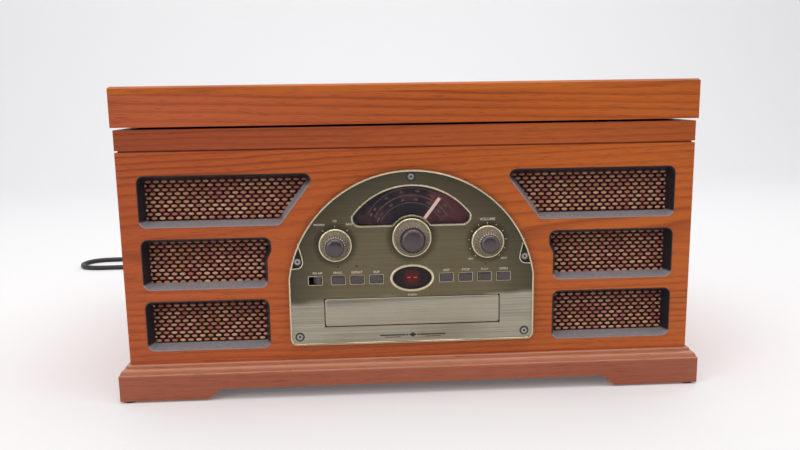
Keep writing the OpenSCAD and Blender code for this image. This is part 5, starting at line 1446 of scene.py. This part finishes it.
mat_low, mat_top = corner("platter_mat").z, corner("platter_mat", True).z
mat_r = (corner("platter_mat", True).x - corner("platter_mat").x) / 2
mat_line = [(mat_r, mat_low), (mat_r, mat_top - 0.5), (mat_r - 0.5, mat_top)]
r = mat_r - 1.5
while r > 52:
    mat_line += [(r, mat_top), (r - 0.4, mat_top - 0.5), (r - 1.4, mat_top - 0.5), (r - 1.8, mat_top)]
    r -= 3.4
mat_line += [(50.5, mat_top), (50, mat_top - 0.6), (20, mat_top - 0.6), (19.6, mat_top - 0.2),
             (8, mat_top - 0.2), (7.6, mat_top - 0.6), (5.2, mat_top - 0.6), (5.0, mat_top - 0.8),
             (5.0, mat_low)]
mat = piece("ribbed_mat", moulded("mat_rubber", "1d1d1f", 0.7, 1400, 0.00004, 0.3),
            lathe(mat_line, (platter_at.x, platter_at.y, 0), (0, 0, 1), 128, ring=True), sharp=30)
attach(mat, "platter")
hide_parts("platter_mat")


# ---- Tonearm -------------------------------------------------------------------------------------------
# A straight aluminium tube on a steel gimbal, with a moulded headshell and red cartridge at the front and
# a knurled counterweight at the back. A small lever beside the pillar raises it.
# Where the tonearm's two axes cross
arm_at = Vector((150, 98.5, 232))
tube_metal = metal("arm_tube", "b9babd", "e2e3e5", 0.2, 0.06, turn=(0, 0, 90))
shell_low = corner("tonearm").y
arm_tube = piece(
    "tonearm_tube", tube_metal,
    tube([(arm_at.x, arm_at.y + 30, arm_at.z), (arm_at.x, shell_low + 44, arm_at.z)], 3.5, 32),
    lathe([(4.2, 3), (4.5, 2.5), (4.5, -2.5), (4.2, -3)], (arm_at.x, shell_low + 51, arm_at.z), sides=40),
    lathe([(4.2, 3), (4.5, 2.5), (4.5, -2.5), (4.2, -3)], (arm_at.x, arm_at.y - 12, arm_at.z), sides=40),
    tube([(arm_at.x - 10.2, arm_at.y, arm_at.z), (arm_at.x + 10.2, arm_at.y, arm_at.z)], 1.5, 20),
    lathe([(3.6, 6.5), (4.5, 5.6), (4.5, -5.6), (3.6, -6.5)], arm_at, (1, 0, 0), 40),
)
shell_parts = [brick((arm_at.x - 8, shell_low, arm_at.z - 1.5),
                     (arm_at.x + 8, shell_low + 48, arm_at.z + 3), 1.4)]
shell_parts += [brick((arm_at.x + x - 0.6, shell_low + 8 + 7 * i, arm_at.z + 2.6),
                      (arm_at.x + x + 0.6, shell_low + 12 + 7 * i, arm_at.z + 2.99), 0.15)
                for i in range(4) for x in (-4, 0, 4)]
shell_parts.append(tube([
    (arm_at.x + 7, shell_low + 7, arm_at.z + 2), (arm_at.x + 12, shell_low + 7, arm_at.z + 2),
    (arm_at.x + 16, shell_low + 7, arm_at.z + 1.8), (arm_at.x + 19, shell_low + 7, arm_at.z + 1.9),
], [0.9, 0.8, 0.75, 0.6], 12))
headshell = piece("headshell", moulded("headshell_plastic", "2c2c2f", 0.35, 700), *shell_parts)
weight = piece(
    "counterweight", metal("counterweight_metal", "3c3c3f", "5c5c60", 0.3),
    lathe([(9.0, 22), (10, 22.2), (11, 23.2), (11, 31), (10.4, 31.6), (10.4, 33), (11, 33.6), (11, 42.6),
           (10, 43.8), (9.0, 44)], arm_at, sides=120, flutes=40, depth=0.35,
          fluted=[0, 0, 0, 1, 0, 0, 1, 0.6, 0, 0]),
)
for part, slot in ((arm_tube, "arm_silver"), (headshell, "black_moulding"), (weight, "bright_steel")):
    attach(part, "tonearm")
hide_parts("tonearm")
dress("cartridge", moulded("cartridge_red", "8e2426", 0.35, 600))
dress("tonearm_pivot", metal("pivot_metal", "a5a6aa", "d2d3d6", 0.26))
lever_black = moulded("lever_black", "1e1e20", 0.38, 800)
dress("tonearm_mount", lever_black)
dress("cue_lever", lever_black)
dress("speed_lever", lever_black)
deck_print = piece(
    "deck_print", print_ink,
    words([("33", 174, -121, 3.2, 0), ("45", 188, -125, 3.2, 0), ("78", 202, -121, 3.2, 0),
           ("LIFT", 200, 70, 2.6, 0)], deck_z + 0.01, flat=True),
)
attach(deck_print, "root")


# ---- Back board and electronics ------------------------------------------------------------------------
# A hardboard back in dark brown with vent slots, set in the sides' rabbets by six screws. Four sockets for
# sound in and out stand out of it on the audio board, each with a coloured ring.
hardboard = Finish("back_hardboard", roughness=0.7, specular_ior_level=0.3)
hard_at = hardboard.place()
pressed = hardboard.noise(hard_at, 260, 5, 0.7)
hardboard.feed("Base Color", hardboard.blend(pressed, tone("2e221b"), tone("5b4433")))
hardboard.relief(pressed, 0.00015)
dress("back_panel", hardboard.material)
back_y = corner("back_panel", True).y
jack_x, jack_z = (96, 114, 132, 150), 62
for shade, code, xs in (("red", "a3262a", jack_x[::2]), ("white", "dcdad4", jack_x[1::2])):
    rings = piece("jack_rings_" + shade, moulded("jack_" + shade, code, 0.35, 700),
                  *[lathe([(4.3, 0.02), (6.2, 0.02), (6.2, 1.3), (5.8, 1.7), (4.3, 1.7)], (x, back_y, jack_z),
                          sides=40, ring=True) for x in xs])
    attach(rings, "root")
sleeve_y = corner("audio_board", True).y - 0.5
jack_holes = piece("jack_sleeves", moulded("jack_black", "151516", 0.4, 700), *[
    lathe([(1.6, 0.5), (2.7, 0.5), (2.7, 0.05), (1.6, 0.05)], (x, sleeve_y, jack_z), sides=28, ring=True)
    for x in jack_x])
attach(jack_holes, "root")


def facing_back(shape):
    """Turns printed words that face forwards so that they read from behind."""
    points, faces = shape
    return [(-p[0], 2 * back_y - p[1], p[2]) for p in points], faces


jack_words = [("LINE OUT", -141, jack_z + 14, 2.6, 0), ("LINE IN", -105, jack_z + 14, 2.6, 0)]
jack_words += [(side, -x, jack_z + 9.4, 2.2, 0) for x, side in zip(jack_x, "RLRL")]
back_print = piece("back_print", ink("back_ink", "cfc7b6"), facing_back(words(jack_words, back_y - 0.01)))
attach(back_print, "root")
dress("audio_board", circuit_board("audio_board_green", back_y - 1, back_y - 0.5, "c8c4b8"))
windings = Finish("transformer_finish", metallic=0.4)
wound_at = windings.place()
steel_y = middle("transformer").y / 1000
from_core = windings.maths("ABSOLUTE", windings.maths("SUBTRACT", windings.axis(wound_at, "Y"), steel_y))
copper = windings.between(from_core, 0.0219, 0.0222)
laminated = windings.node("ShaderNodeTexWave", Vector=wound_at, Scale=320, Distortion=0.3).outputs["Fac"]
windings.feed("Base Color", windings.blend(
    copper, windings.blend(laminated, tone("5d5f62"), tone("9c9ea1")),
    windings.blend(laminated, tone("8a6a20"), tone("c79c34"))))
windings.feed("Roughness", windings.between(laminated, 0, 1, 0.35, 0.55))
windings.relief(laminated, 0.00005)
dress("transformer", windings.material)
